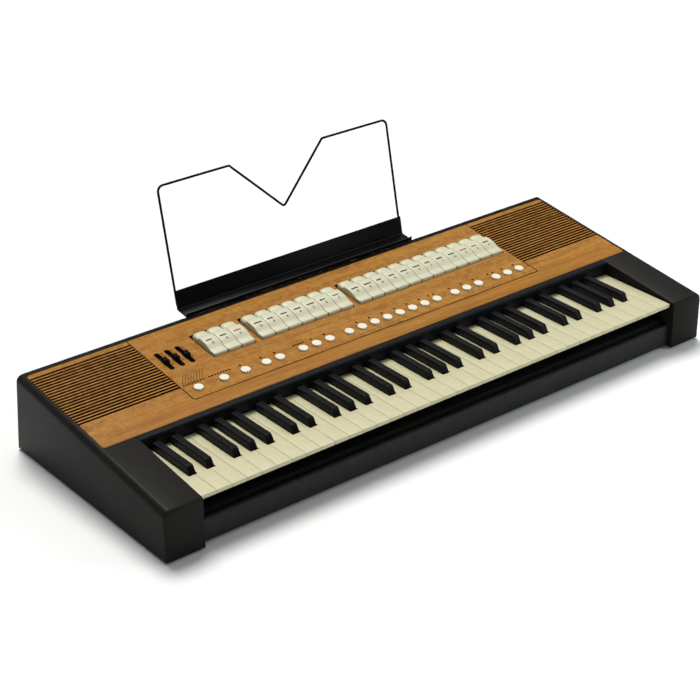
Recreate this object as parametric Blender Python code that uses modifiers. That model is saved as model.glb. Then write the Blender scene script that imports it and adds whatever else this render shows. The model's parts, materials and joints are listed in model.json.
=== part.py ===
"""Portable electronic organ with five octaves, stop tabs, push buttons, faders and a lift-off music rest.

Units are metres, +Z is up and +X runs to the player's right. The origin lies on the table under the
middle of the whole outline, so the feet stand on z = 0 and the keys face -Y. Two frames are used: the world
frame, and the panel frame (x, s, h) of the sloping wood top, where s runs up the slope from the
wood's front edge and h stands square to it.
"""

import math

import bmesh
import bpy
from mathutils import Matrix, Vector

# Case
CASE_HALF_WIDTH = 0.485
CASE_FRONT_Y = -0.207
SHELL_FRONT_Y = -0.191
CASE_BOTTOM_Z = 0.003
CHEEK_INNER_X = 0.426
SIDE_WALL_INNER_X = 0.4748
SIDE_TOP_RADIUS = 0.0098
CHEEK_FRONT_RADIUS = 0.0034
SHELL_BOTTOM_FOLD = 0.006
SHELL_REAR_FOLD = 0.0018
LEDGE_WIDTH = 0.008
LEDGE_REAR_S = 0.1835
SHEET = 0.0015
CLEARANCE = 0.0003
FOOT_X = 0.40
FOOT_Y = (-0.168, 0.127)
FOOT_RADIUS = 0.011

# Sloping top
PANEL_SLOPE = math.radians(7.184)
PANEL_ORIGIN = Vector((0.0, -0.0544, 0.0958))
CASE_REAR_S = 0.2022
WOOD_HALF_WIDTH = 0.4745
WOOD_FRONT_S = -0.0005
WOOD_REAR_S = 0.1937
WOOD_THICKNESS = 0.005
WOOD_CORNER_RADIUS = 0.004
WOOD_EDGE_RADIUS = 0.0008

# Grilles and joint line milled into the wood
GRILLE_GROOVES = 21
GROOVE_FIRST_S = 0.0607
GROOVE_PITCH = 0.00609
GROOVE_WIDTH = 0.0032
GROOVE_DEPTH = 0.003
JOINT_X = 0.3155
JOINT_FRONT_S = 0.0265
JOINT_WIDTH = 0.0016
JOINT_DEPTH = 0.0012
SPEAKER_X = 0.395
SPEAKER_S = 0.128
SPEAKER_RADIUS = 0.052
SPEAKER_RECESS_DEPTH = 0.0028

# Keyboard
OCTAVES = 5
WHITE_PITCH = 0.02357
KEYBOARD_LEFT_X = -18 * WHITE_PITCH
KEY_GAP = 0.001
KEY_FRONT_Y = -0.200
KEY_TOP_Z = 0.0745
KEY_LIP = 0.0052
KEY_BODY_SETBACK = 0.016
KEY_BODY_MARGIN = 0.0011
KEY_BODY_BOTTOM_Z = 0.062
KEY_REAR_Y = 0.019
SHARP_FRONT_Y = -0.151
SHARP_REAR_Y = -0.0665
SHARP_TOP_Z = 0.0855
SHARP_HALF_WIDTH = 0.006
SHARP_TOP_HALF_WIDTH = 0.0049
SHARP_NOSE = 0.0075
SHARP_CLEARANCE = 0.001
SHARP_AT_BOUNDARY = {1: -0.0024, 2: 0.0023, 4: -0.0032, 5: 0.0, 6: 0.0035}
WEB_Y = 0.023
WEB_THICKNESS = 0.0012
STRIP_FRONT_Y = 0.027
STRIP_REAR_Y = 0.041
STRIP_THICKNESS = 0.0024
LAYER_Z = {"CEGB": 0.0632, "DFA": 0.0668, "black": 0.0704}
KEYBED_TOP_Z = 0.046
KEYBED_FOOT_Z = 0.0052
KEYBED_Y = (-0.189, 0.047)
STOP_RAIL_Y = (-0.173, -0.161)
BED_WINDOW_Y = (-0.098, -0.038)
BED_WINDOW_PITCH = 0.135
RAIL_FACE_Y = -0.198
RAIL_Z = (0.0035, 0.0375)
RAIL_FLANGE = 0.006
RAIL_FOLD_RADIUS = 0.0022

# Rocking tabs
TAB_GROUPS = ((-0.2334, 3), (-0.1512, 7), (0.0252, 12))
TAB_PITCH = 0.02355
TAB_GAP = 0.0008
TAB_S = (0.0965, 0.1560)
TAB_PIVOT_S = 0.127
TAB_PIVOT_H = -0.008
TAB_CLIP_RADIUS = 0.0018
TAB_FOOT_H = -0.0115
TAB_ROD_RADIUS = 0.0015
TAB_REAR_CORNER = 0.0045
TAB_FRONT_CORNER = 0.0014
TAB_EDGE = 0.0008
TAB_OPENING_S = (0.0956, 0.1585)
TAB_OPENING_MARGIN = 0.0018

# Push buttons
BUTTON_GROUPS = ((-0.2951, 1), (-0.2528, 1), (-0.2170, 1), (-0.1817, 2), (-0.1176, 3), (-0.0353, 8),
                 (0.1647, 3), (0.2472, 3))
BUTTON_PITCH = 0.02355
BUTTON_S = 0.0465
BUTTON_RADIUS = 0.0071
BUTTON_HOLE_RADIUS = 0.0076
BUTTON_HEIGHT = 0.0028
BUTTON_SIDES = 12

# Tray under the wood
TRAY_HALF_WIDTH = 0.332
TRAY_S = (0.032, 0.172)
TRAY_FLOOR_H = -0.016
TRAY_SHEET = 0.0016
ROD_POST_X = (-0.2380, -0.1574, 0.0190, 0.3116)

# Faders
FADER_X = (-0.2986, -0.2816, -0.2646)
FADER_S = (0.1212, 0.1212, 0.1204)
SLOT_CENTRE_S = 0.1241
SLOT_LENGTH = 0.0458
SLOT_WIDTH = 0.0070
CAP_LENGTH = 0.012
CAP_WIDTH = 0.0074
CAP_HEIGHT = 0.0080

# Music rest
REST_LIP_S = 0.2004
REST_FOLD_S = 0.2237
REST_LIP_HEIGHT = 0.006
REST_SHEET = 0.0012
REST_HALF_WIDTH = 0.210
REST_BAND_HEIGHT = 0.0282
REST_LEAN = math.radians(18.7)
REST_LIP_FOLD = 0.0018
REST_BAND_FOLD = 0.0024
REST_WIRE_RADIUS = 0.00175
REST_WIRE_HALF_WIDTH = 0.2078
REST_WIRE_HEIGHT = 0.184
REST_WIRE_CORNER = 0.009
REST_NOTCH_HALF_WIDTH = 0.0845
REST_NOTCH_DEPTH = 0.0827
HANGER_X = 0.120
HANGER_HALF_WIDTH = 0.012
HANGER_LENGTH = 0.040

# Rear connector plate, in x and h on the rear face
PLATE_X = (0.170, 0.390)
PLATE_H = (-0.096, -0.054)
PLATE_BACK_S = 0.184
INLET_X = 0.360
INLET_HALF_SIZE = (0.01375, 0.010)
JACK_X = (0.186, 0.206, 0.226, 0.246)
JACK_RADIUS = 0.0035
DIN_X = (0.275, 0.305)
DIN_RADIUS = 0.0075

PANEL_MATRIX = Matrix.Translation(PANEL_ORIGIN) @ Matrix.Rotation(PANEL_SLOPE, 4, "X")
ALONG_X = Matrix(((0, 0, 1, 0), (1, 0, 0, 0), (0, 1, 0, 0), (0, 0, 0, 1)))


def clear_scene():
    """Remove whatever the new file holds."""
    for old in list(bpy.data.objects):
        bpy.data.objects.remove(old, do_unlink=True)


def new_collection(name):
    """A collection linked to the scene."""
    made = bpy.data.collections.new(name)
    bpy.context.scene.collection.children.link(made)
    return made


def material(name, colour, roughness, metallic=0.0):
    """A Principled material."""
    made = bpy.data.materials.new(name)
    made.use_nodes = True
    shader = made.node_tree.nodes["Principled BSDF"]
    shader.inputs["Base Color"].default_value = (*colour, 1.0)
    shader.inputs["Roughness"].default_value = roughness
    shader.inputs["Metallic"].default_value = metallic
    return made


def object_from_bmesh(bm, matrix):
    """A working object that holds the bmesh."""
    mesh = bpy.data.meshes.new("work")
    bm.to_mesh(mesh)
    bm.free()
    made = bpy.data.objects.new("work", mesh)
    made.matrix_world = matrix
    bpy.context.scene.collection.objects.link(made)
    return made


def apply_modifiers(obj):
    """Replace the mesh by what the modifiers make of it."""
    bpy.context.view_layer.update()
    evaluated = obj.evaluated_get(bpy.context.evaluated_depsgraph_get())
    made = bpy.data.meshes.new_from_object(evaluated)
    obj.modifiers.clear()
    obj.data = made


def boxes(corner_pairs, matrix=Matrix.Identity(4)):
    """One object of separate boxes, each given by two opposite corners."""
    bm = bmesh.new()
    for start, end in corner_pairs:
        size = [abs(b - a) for a, b in zip(start, end)]
        centre = (Vector(start) + Vector(end)) / 2
        place = Matrix.Translation(centre) @ Matrix.Diagonal((*size, 1.0))
        bmesh.ops.create_cube(bm, size=1.0, matrix=place)
    return object_from_bmesh(bm, matrix)


def box(start, end, matrix=Matrix.Identity(4)):
    """A box between two opposite corners."""
    return boxes([(start, end)], matrix)


def cylinders(places, radius, depth, segments, matrix=Matrix.Identity(4)):
    """One object of separate cylinders whose axes are local Z, centred at each place."""
    bm = bmesh.new()
    for place in places:
        bmesh.ops.create_cone(bm, cap_ends=True, segments=segments, radius1=radius, radius2=radius,
                              depth=depth, matrix=Matrix.Translation(Vector(place)))
    return object_from_bmesh(bm, matrix)


def rounded(points, radii, steps=4):
    """The outline with its corners turned into arcs; a radius of 0 keeps the corner sharp."""
    made = []
    count = len(points)
    for index, point in enumerate(points):
        corner, radius = Vector(point), radii[index]
        if radius == 0.0:
            made.append(tuple(corner))
            continue
        before = (Vector(points[index - 1]) - corner).normalized()
        after = (Vector(points[(index + 1) % count]) - corner).normalized()
        half = before.angle(after) / 2
        centre = corner + (before + after).normalized() * (radius / math.sin(half))
        start = corner + before * (radius / math.tan(half)) - centre
        end = corner + after * (radius / math.tan(half)) - centre
        for step in range(steps + 1):
            share = step / steps
            swing = start.normalized().slerp(end.normalized(), share) * radius
            made.append(tuple(centre + swing))
    return made


def plate(outline, low, high, matrix=Matrix.Identity(4)):
    """A flat outline in local XY, extruded along local Z from low to high."""
    curve = bpy.data.curves.new("outline", "CURVE")
    curve.dimensions = "2D"
    curve.fill_mode = "BOTH"
    curve.extrude = (high - low) / 2
    spline = curve.splines.new("POLY")
    spline.points.add(len(outline) - 1)
    for point, (x, y) in zip(spline.points, outline):
        point.co = (x, y, 0.0, 1.0)
    spline.use_cyclic_u = True
    return mesh_from_curve(curve, matrix @ Matrix.Translation((0, 0, (low + high) / 2)))


def wire(points, radius, matrix=Matrix.Identity(4)):
    """A round wire through the points, with closed ends."""
    curve = bpy.data.curves.new("wire", "CURVE")
    curve.dimensions = "3D"
    curve.bevel_depth = radius
    curve.bevel_resolution = 2
    curve.use_fill_caps = True
    spline = curve.splines.new("POLY")
    spline.points.add(len(points) - 1)
    for point, place in zip(spline.points, points):
        point.co = (*place, 1.0)
    return mesh_from_curve(curve, matrix)


def mesh_from_curve(curve, matrix):
    """The curve as one closed mesh object."""
    drawn = bpy.data.objects.new("drawn", curve)
    bpy.context.scene.collection.objects.link(drawn)
    bpy.context.view_layer.update()
    evaluated = drawn.evaluated_get(bpy.context.evaluated_depsgraph_get())
    bm = bmesh.new()
    bm.from_mesh(bpy.data.meshes.new_from_object(evaluated))
    bpy.data.objects.remove(drawn)
    bmesh.ops.remove_doubles(bm, verts=bm.verts, dist=1e-6)
    bmesh.ops.dissolve_limit(bm, angle_limit=math.radians(0.1), verts=bm.verts, edges=bm.edges)
    bmesh.ops.recalc_face_normals(bm, faces=bm.faces)
    return object_from_bmesh(bm, matrix)


def turned(profile, steps, matrix=Matrix.Identity(4)):
    """A profile of (radius, height) pairs turned about local Z."""
    mesh = bpy.data.meshes.new("profile")
    edges = [(index, index + 1) for index in range(len(profile) - 1)]
    mesh.from_pydata([(radius, 0.0, height) for radius, height in profile], edges, [])
    made = bpy.data.objects.new("turned", mesh)
    made.matrix_world = matrix
    bpy.context.scene.collection.objects.link(made)
    screw = made.modifiers.new("Turn", "SCREW")
    screw.steps = steps
    screw.render_steps = steps
    screw.use_merge_vertices = True
    screw.merge_threshold = 1e-6
    apply_modifiers(made)
    bm = bmesh.new()
    bm.from_mesh(made.data)
    bmesh.ops.recalc_face_normals(bm, faces=bm.faces)
    bm.to_mesh(made.data)
    bm.free()
    return made


def folded_sheet(path, thickness, low_x, high_x, matrix=Matrix.Identity(4)):
    """A sheet folded along a path in local YZ; the metal lies to the left of the path, seen from +X."""
    bm = bmesh.new()
    for start, end in zip(path, path[1:]):
        bm.faces.new([bm.verts.new((x, *place)) for x, place in
                      ((low_x, start), (high_x, start), (high_x, end), (low_x, end))])
    bmesh.ops.remove_doubles(bm, verts=bm.verts, dist=1e-6)
    made = object_from_bmesh(bm, matrix)
    solid = made.modifiers.new("Thickness", "SOLIDIFY")
    solid.thickness = thickness
    solid.offset = 1.0
    solid.use_even_offset = True
    apply_modifiers(made)
    return made


def combine(target, operand, operation):
    """Apply a Boolean with the operand, which is then removed."""
    change = target.modifiers.new("Combine", "BOOLEAN")
    change.operation = operation
    change.solver = "EXACT"
    change.object = operand
    apply_modifiers(target)
    bpy.data.objects.remove(operand)
    return target


def fuse(parts):
    """One solid of overlapping parts."""
    target = parts[0]
    for part in parts[1:]:
        combine(target, part, "UNION")
    return target


def cut(target, *cutters):
    """The target less each cutter."""
    for cutter in cutters:
        combine(target, cutter, "DIFFERENCE")
    return target


def bevel_edges(obj, width, segments, chosen):
    """Round the edges for which chosen(first point, second point) holds, in local coordinates."""
    bm = bmesh.new()
    bm.from_mesh(obj.data)
    edges = [edge for edge in bm.edges if chosen(edge.verts[0].co, edge.verts[1].co)]
    bmesh.ops.bevel(bm, geom=edges, offset=width, segments=segments, profile=0.5, affect="EDGES",
                    clamp_overlap=True)
    bm.to_mesh(obj.data)
    bm.free()
    return obj


def finish(obj, name, origin, surface, parent=None, smooth_angle=35.0):
    """Name the solid, put its origin on the given matrix and give it its material."""
    bm = bmesh.new()
    bm.from_mesh(obj.data)
    bm.transform(origin.inverted() @ obj.matrix_world)
    bmesh.ops.remove_doubles(bm, verts=bm.verts, dist=1e-6)
    bmesh.ops.dissolve_degenerate(bm, edges=bm.edges, dist=1e-6)
    mesh = bpy.data.meshes.new(name)
    bm.to_mesh(mesh)
    bm.free()
    mesh.shade_smooth()
    mesh.set_sharp_from_angle(angle=math.radians(smooth_angle))
    mesh.materials.clear()
    mesh.materials.append(surface)
    bpy.data.objects.remove(obj)
    made = bpy.data.objects.new(name, mesh)
    PARTS.objects.link(made)
    made.matrix_world = origin
    if parent is not None:
        made.parent = parent
        made.matrix_parent_inverse = parent.matrix_world.inverted()
    return made


def panel_point(s, h):
    """World (y, z) of a point of the panel frame."""
    place = PANEL_MATRIX @ Vector((0.0, s, h))
    return place.y, place.z


def make_cheek(name, side, surface):
    """An end piece: full-depth side wall, block beside the keys, and a ledge under the wood."""
    rear_bottom_y = panel_point(CASE_REAR_S, 0.0)[0] + (
        panel_point(CASE_REAR_S, 0.0)[1] - CASE_BOTTOM_Z) * math.tan(PANEL_SLOPE)
    block_rear_y = panel_point(WOOD_FRONT_S - CLEARANCE, 0.0)[0]
    outline = [(CASE_HALF_WIDTH, CASE_FRONT_Y), (CASE_HALF_WIDTH, rear_bottom_y),
               (SIDE_WALL_INNER_X, rear_bottom_y), (SIDE_WALL_INNER_X, block_rear_y),
               (CHEEK_INNER_X, block_rear_y), (CHEEK_INNER_X, CASE_FRONT_Y)]
    cheek = plate(outline, CASE_BOTTOM_Z, 0.16)
    bm = bmesh.new()
    bm.from_mesh(cheek.data)
    bm.transform(cheek.matrix_world)
    normal_up = PANEL_MATRIX.to_3x3() @ Vector((0, 0, 1))
    normal_back = PANEL_MATRIX.to_3x3() @ Vector((0, 1, 0))
    rear_top = PANEL_MATRIX @ Vector((0, CASE_REAR_S, 0))
    for point, normal in ((PANEL_ORIGIN, normal_up), (rear_top, normal_back)):
        geometry = bm.verts[:] + bm.edges[:] + bm.faces[:]
        bmesh.ops.bisect_plane(bm, geom=geometry, dist=1e-7, plane_co=point, plane_no=normal,
                               clear_outer=True)
        bmesh.ops.holes_fill(bm, edges=[edge for edge in bm.edges if edge.is_boundary], sides=0)
    bmesh.ops.recalc_face_normals(bm, faces=bm.faces)
    cheek.matrix_world = Matrix.Identity(4)
    bm.to_mesh(cheek.data)
    bm.free()

    def on_top(point):
        return abs((point - PANEL_ORIGIN).dot(normal_up)) < 1e-5

    def outer(point):
        return abs(point.x - CASE_HALF_WIDTH) < 1e-5

    def front(point):
        return abs(point.y - CASE_FRONT_Y) < 1e-5

    def back(point):
        return abs((point - rear_top).dot(normal_back)) < 1e-5

    def rim(face):
        """Chooses a face's top, rounded and outer edges, not its bottom or inner one."""
        def chosen(a, b):
            low = max(a.z, b.z) < CASE_BOTTOM_Z + 1e-5
            inner = abs(a.x - b.x) < 1e-5 and a.x < SIDE_WALL_INNER_X + 1e-5
            return face(a) and face(b) and not low and not inner
        return chosen

    bevel_edges(cheek, SIDE_TOP_RADIUS, 6,
                lambda a, b: on_top(a) and on_top(b) and outer(a) and outer(b))
    bevel_edges(cheek, CHEEK_FRONT_RADIUS, 3, rim(front))
    bevel_edges(cheek, SHELL_REAR_FOLD, 3, rim(back))
    ledge_top = -WOOD_THICKNESS - CLEARANCE
    ledge = box((SIDE_WALL_INNER_X - LEDGE_WIDTH, 0.0, ledge_top - 0.004),
                (SIDE_WALL_INNER_X + 0.001, LEDGE_REAR_S, ledge_top), PANEL_MATRIX)
    fuse([cheek, ledge])
    if side < 0:
        bm = bmesh.new()
        bm.from_mesh(cheek.data)
        bm.transform(Matrix.Diagonal((-1, 1, 1, 1)))
        bmesh.ops.reverse_faces(bm, faces=bm.faces)
        bm.to_mesh(cheek.data)
        bm.free()
    origin = Matrix.Translation((side * SIDE_WALL_INNER_X, 0.0, CASE_BOTTOM_Z))
    return finish(cheek, name, origin, surface)


def make_case_shell(surface):
    """Bottom, rear and rear top strip folded from one sheet, with feet and the rest's keepers."""
    rear_top = panel_point(CASE_REAR_S, 0.0)
    rear_bottom_y = rear_top[0] + (rear_top[1] - CASE_BOTTOM_Z) * math.tan(PANEL_SLOPE)
    step_s = WOOD_REAR_S + CLEARANCE
    ledge_h = -WOOD_THICKNESS - CLEARANCE
    path = [(SHELL_FRONT_Y, CASE_BOTTOM_Z), (rear_bottom_y, CASE_BOTTOM_Z), rear_top,
            panel_point(step_s, 0.0),
            panel_point(step_s, ledge_h), panel_point(step_s - 0.0095, ledge_h)]
    folds = rounded(path, (0.0, SHELL_BOTTOM_FOLD, SHELL_REAR_FOLD, 0.0, 0.0, 0.0), 3)
    half = WOOD_HALF_WIDTH
    shell = folded_sheet(folds, SHEET, -half, half)
    block_rear_y = panel_point(WOOD_FRONT_S, 0.0)[0] + 0.0005
    side_cutters = boxes([((edge * (CHEEK_INNER_X - CLEARANCE), SHELL_FRONT_Y - 0.01, 0.0),
                           (edge * (half + 0.01), block_rear_y, 0.02)) for edge in (-1, 1)])
    window = box((PLATE_X[0] - CLEARANCE, CASE_REAR_S - 0.01, PLATE_H[0] - CLEARANCE),
                 (PLATE_X[1] + CLEARANCE, CASE_REAR_S + 0.01, PLATE_H[1] + CLEARANCE), PANEL_MATRIX)
    cut(shell, side_cutters, window)
    feet = cylinders([(x, y, 0.002) for x in (-FOOT_X, FOOT_X) for y in FOOT_Y], FOOT_RADIUS, 0.004, 16)
    strap = [((x - 0.017, CASE_REAR_S - 0.0006, -0.030), (x + 0.017, CASE_REAR_S + 0.0038, -0.014))
             for x in (-HANGER_X, HANGER_X)]
    fuse([shell, feet, boxes(strap, PANEL_MATRIX)])
    slots = [((x - HANGER_HALF_WIDTH - 0.0004, CASE_REAR_S + 0.0001, -0.034),
              (x + HANGER_HALF_WIDTH + 0.0004, CASE_REAR_S + 0.0023, -0.010))
             for x in (-HANGER_X, HANGER_X)]
    cut(shell, boxes(slots, PANEL_MATRIX))
    return finish(shell, "case_shell", Matrix.Translation((0, 0, CASE_BOTTOM_Z)), surface)


def make_front_rail(surface):
    """The rail under the key fronts: a face with a narrow flange at the top and bottom."""
    bottom_z, top_z = RAIL_Z
    flange_y = RAIL_FACE_Y + RAIL_FLANGE
    path = [(flange_y, bottom_z), (RAIL_FACE_Y, bottom_z), (RAIL_FACE_Y, top_z), (flange_y, top_z)]
    rail = folded_sheet(rounded(path, (0.0, RAIL_FOLD_RADIUS, RAIL_FOLD_RADIUS, 0.0), 3)[::-1], SHEET,
                        -CHEEK_INNER_X + CLEARANCE, CHEEK_INNER_X - CLEARANCE)
    return finish(rail, "front_rail", Matrix.Translation((0, RAIL_FACE_Y, bottom_z)), surface)


def make_fallboard(surface):
    """The nosing behind the keys: ledge under the wood, strip level with it and a wall down to the keys."""
    step_s = WOOD_FRONT_S - CLEARANCE
    ledge_h = -WOOD_THICKNESS - CLEARANCE
    nose = panel_point(-0.0115, 0.0)
    path = [panel_point(0.012, ledge_h), panel_point(step_s, ledge_h), panel_point(step_s, 0.0), nose,
            (nose[0], KEY_TOP_Z + 0.0008)]
    folds = rounded(path, (0.0, 0.0, 0.0, 0.0025, 0.0), 4)
    board = folded_sheet(folds, 0.002, -CHEEK_INNER_X + CLEARANCE, CHEEK_INNER_X - CLEARANCE)
    return finish(board, "fallboard", Matrix.Translation((0, *nose)), surface)


def make_wood_panel(surface):
    """The wood top with its grilles, joint line, tab openings, fader slots and button holes."""
    half = WOOD_HALF_WIDTH
    corners = [(-half, WOOD_FRONT_S), (half, WOOD_FRONT_S), (half, WOOD_REAR_S), (-half, WOOD_REAR_S)]
    wood = plate(rounded(corners, [WOOD_CORNER_RADIUS] * 4), -WOOD_THICKNESS, 0.0)
    bevel_edges(wood, WOOD_EDGE_RADIUS, 1,
                lambda a, b: a.z > WOOD_THICKNESS / 2 - 1e-6 and b.z > WOOD_THICKNESS / 2 - 1e-6)
    grooves = []
    for side in (-1, 1):
        inner, outer = sorted((side * JOINT_X, side * (half + 0.002)))
        for index in range(GRILLE_GROOVES):
            middle = GROOVE_FIRST_S + GROOVE_PITCH * index
            grooves.append(((inner, middle - GROOVE_WIDTH / 2, -GROOVE_DEPTH),
                            (outer, middle + GROOVE_WIDTH / 2, 0.002)))
    recesses = [((side * SPEAKER_X - SPEAKER_RADIUS + 0.004, SPEAKER_S - SPEAKER_RADIUS + 0.004, -0.01),
                 (side * SPEAKER_X + SPEAKER_RADIUS - 0.004, SPEAKER_S + SPEAKER_RADIUS - 0.004,
                  SPEAKER_RECESS_DEPTH - WOOD_THICKNESS)) for side in (-1, 1)]
    cut(wood, boxes(grooves), joint_line_cutter(), boxes(recesses))
    openings = []
    for start, count in TAB_GROUPS:
        end = start + count * TAB_PITCH - TAB_GAP
        openings.append(((start - TAB_OPENING_MARGIN, TAB_OPENING_S[0], -0.01),
                         (end + TAB_OPENING_MARGIN, TAB_OPENING_S[1], 0.01)))
    places = [(first + BUTTON_PITCH * index, BUTTON_S, 0.0) for first, count in BUTTON_GROUPS
              for index in range(count)]
    cut(wood, boxes(openings), cylinders(places, BUTTON_HOLE_RADIUS, 0.02, BUTTON_SIDES))
    for x in FADER_X:
        reach, radius = SLOT_LENGTH / 2, SLOT_WIDTH / 2
        slot = [(x - radius, SLOT_CENTRE_S - reach), (x + radius, SLOT_CENTRE_S - reach),
                (x + radius, SLOT_CENTRE_S + reach), (x - radius, SLOT_CENTRE_S + reach)]
        cut(wood, plate(rounded(slot, [radius * 0.98] * 4, 3), -0.01, 0.01))
    wood.matrix_world = PANEL_MATRIX @ wood.matrix_world
    return finish(wood, "wood_panel", PANEL_MATRIX, surface)


def joint_line_cutter():
    """The shallow line round the control area, open at the rear edge."""
    rear_s = WOOD_REAR_S + 0.003
    line = []
    for offset in (JOINT_WIDTH / 2, -JOINT_WIDTH / 2):
        radius = WOOD_CORNER_RADIUS + offset
        x, front_s = JOINT_X + offset, JOINT_FRONT_S - offset
        corners = [(-x, rear_s), (-x, front_s), (x, front_s), (x, rear_s)]
        side = rounded(corners, (0.0, radius, radius, 0.0), 3)
        line += side if offset > 0 else side[::-1]
    return plate(line, -JOINT_DEPTH, 0.002)


def tail_span(degree):
    """Left and right edge of a natural's tail from the octave's left edge; degree 0 is C."""
    left = degree * WHITE_PITCH + KEY_GAP / 2
    right = (degree + 1) * WHITE_PITCH - KEY_GAP / 2
    reach = SHARP_HALF_WIDTH + SHARP_CLEARANCE
    if degree in SHARP_AT_BOUNDARY:
        left = degree * WHITE_PITCH + SHARP_AT_BOUNDARY[degree] + reach
    if degree + 1 in SHARP_AT_BOUNDARY:
        right = (degree + 1) * WHITE_PITCH + SHARP_AT_BOUNDARY[degree + 1] - reach
    return left, right


def natural_outline(octave_x, degree, margin, front_y, rear_y):
    """Plan of a natural, taken in by a margin at its sides."""
    head_left = octave_x + degree % 7 * WHITE_PITCH + KEY_GAP / 2
    head_right = head_left + WHITE_PITCH - KEY_GAP
    left, right = (octave_x + edge for edge in tail_span(degree))
    if degree == 7:
        head_left, head_right = left, right
    shoulder_y = SHARP_FRONT_Y - SHARP_CLEARANCE - margin
    outline = [(head_left + margin, front_y), (head_right - margin, front_y)]
    if right < head_right - 1e-6:
        outline += [(head_right - margin, shoulder_y), (right - margin, shoulder_y)]
    outline += [(right - margin, rear_y), (left + margin, rear_y)]
    if left > head_left + 1e-6:
        outline += [(left + margin, shoulder_y), (head_left + margin, shoulder_y)]
    return outline


def natural_parts(octave_x, degree, layer_z):
    """A natural key: plate with a front lip, deeper body behind the lip, and flexing web."""
    top_outline = natural_outline(octave_x, degree, 0.0, KEY_FRONT_Y, KEY_REAR_Y)
    top = plate(top_outline, KEY_TOP_Z - KEY_LIP, KEY_TOP_Z)
    edge_z = KEY_LIP / 2 - 1e-6
    bevel_edges(top, 0.0007, 1, lambda a, b: a.z > edge_z and b.z > edge_z)
    body_outline = natural_outline(octave_x, degree, KEY_BODY_MARGIN, KEY_FRONT_Y + KEY_BODY_SETBACK,
                                   KEY_REAR_Y - 0.0005)
    body = plate(body_outline, KEY_BODY_BOTTOM_Z, KEY_TOP_Z - KEY_LIP + 0.0004)
    left, right = (octave_x + edge for edge in tail_span(degree))
    web = box((left + 0.002, KEY_REAR_Y - 0.002, layer_z - WEB_THICKNESS / 2),
              (right - 0.002, STRIP_FRONT_Y + 0.001, layer_z + WEB_THICKNESS / 2))
    return [top, body, web]


def sharp_parts(centre_x, layer_z):
    """A sharp key: tapered head with a sloping nose, arm under the nosing, and flexing web."""
    low_z = KEY_TOP_Z - 0.0065
    bm = bmesh.new()
    middle = Vector((centre_x, (SHARP_FRONT_Y + SHARP_REAR_Y) / 2, (low_z + SHARP_TOP_Z) / 2))
    size = (2 * SHARP_HALF_WIDTH, SHARP_REAR_Y - SHARP_FRONT_Y, SHARP_TOP_Z - low_z, 1.0)
    bmesh.ops.create_cube(bm, size=1.0, matrix=Matrix.Translation(middle) @ Matrix.Diagonal(size))
    for vert in bm.verts:
        if vert.co.z > middle.z:
            vert.co.x = centre_x + math.copysign(SHARP_TOP_HALF_WIDTH, vert.co.x - centre_x)
            if vert.co.y < middle.y:
                vert.co.y += SHARP_NOSE
    head = object_from_bmesh(bm, Matrix.Identity(4))
    bevel_edges(head, 0.0012, 1, lambda a, b: (a.z > middle.z or b.z > middle.z)
                and not (a.y > middle.y and b.y > middle.y))
    arm = box((centre_x - 0.0052, SHARP_REAR_Y - 0.02, low_z + 0.0004),
              (centre_x + 0.0052, KEY_REAR_Y, KEY_TOP_Z - 0.0004))
    web = box((centre_x - 0.004, KEY_REAR_Y - 0.002, layer_z - WEB_THICKNESS / 2),
              (centre_x + 0.004, STRIP_FRONT_Y + 0.001, layer_z + WEB_THICKNESS / 2))
    return [head, arm, web]


def make_key_sets(ivory, black):
    """The moulded sets of keys: in each octave C-E-G-B, D-F-A and the sharps, each on its own strip."""
    octave_width = 7 * WHITE_PITCH
    for octave in range(OCTAVES):
        octave_x = KEYBOARD_LEFT_X + octave * octave_width
        last = octave == OCTAVES - 1
        for label, degrees in (("CEGB", (0, 2, 4, 6)), ("DFA", (1, 3, 5))):
            layer_z = LAYER_Z[label]
            parts = []
            for degree in degrees + ((7,) if last and label == "CEGB" else ()):
                parts += natural_parts(octave_x, degree, layer_z)
            strip_right = octave_width + (WHITE_PITCH if last and label == "CEGB" else 0.0)
            parts.append(key_strip(octave_x, strip_right, layer_z))
            finish_key_set(parts, f"octave_{octave + 1}_{label}_keys", octave_x, layer_z, ivory)
        layer_z = LAYER_Z["black"]
        parts = []
        for boundary, offset in SHARP_AT_BOUNDARY.items():
            parts += sharp_parts(octave_x + boundary * WHITE_PITCH + offset, layer_z)
        parts.append(key_strip(octave_x, octave_width, layer_z))
        finish_key_set(parts, f"octave_{octave + 1}_black_keys", octave_x, layer_z, black)


def key_strip(octave_x, width, layer_z):
    """The strip that a set's webs run into."""
    return box((octave_x + KEY_GAP / 2, STRIP_FRONT_Y, layer_z - STRIP_THICKNESS / 2),
               (octave_x + width - KEY_GAP / 2, STRIP_REAR_Y, layer_z + STRIP_THICKNESS / 2))


def finish_key_set(parts, name, octave_x, layer_z, surface):
    """Fuse a set and hang it on an empty at its flexing line."""
    line = bpy.data.objects.new(name + "_flexing_line", None)
    line.location = (octave_x, WEB_Y, layer_z)
    line.empty_display_size = 0.01
    PARTS.objects.link(line)
    bpy.context.view_layer.update()
    finish(fuse(parts), name, line.matrix_world.copy(), surface, parent=line)


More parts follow.
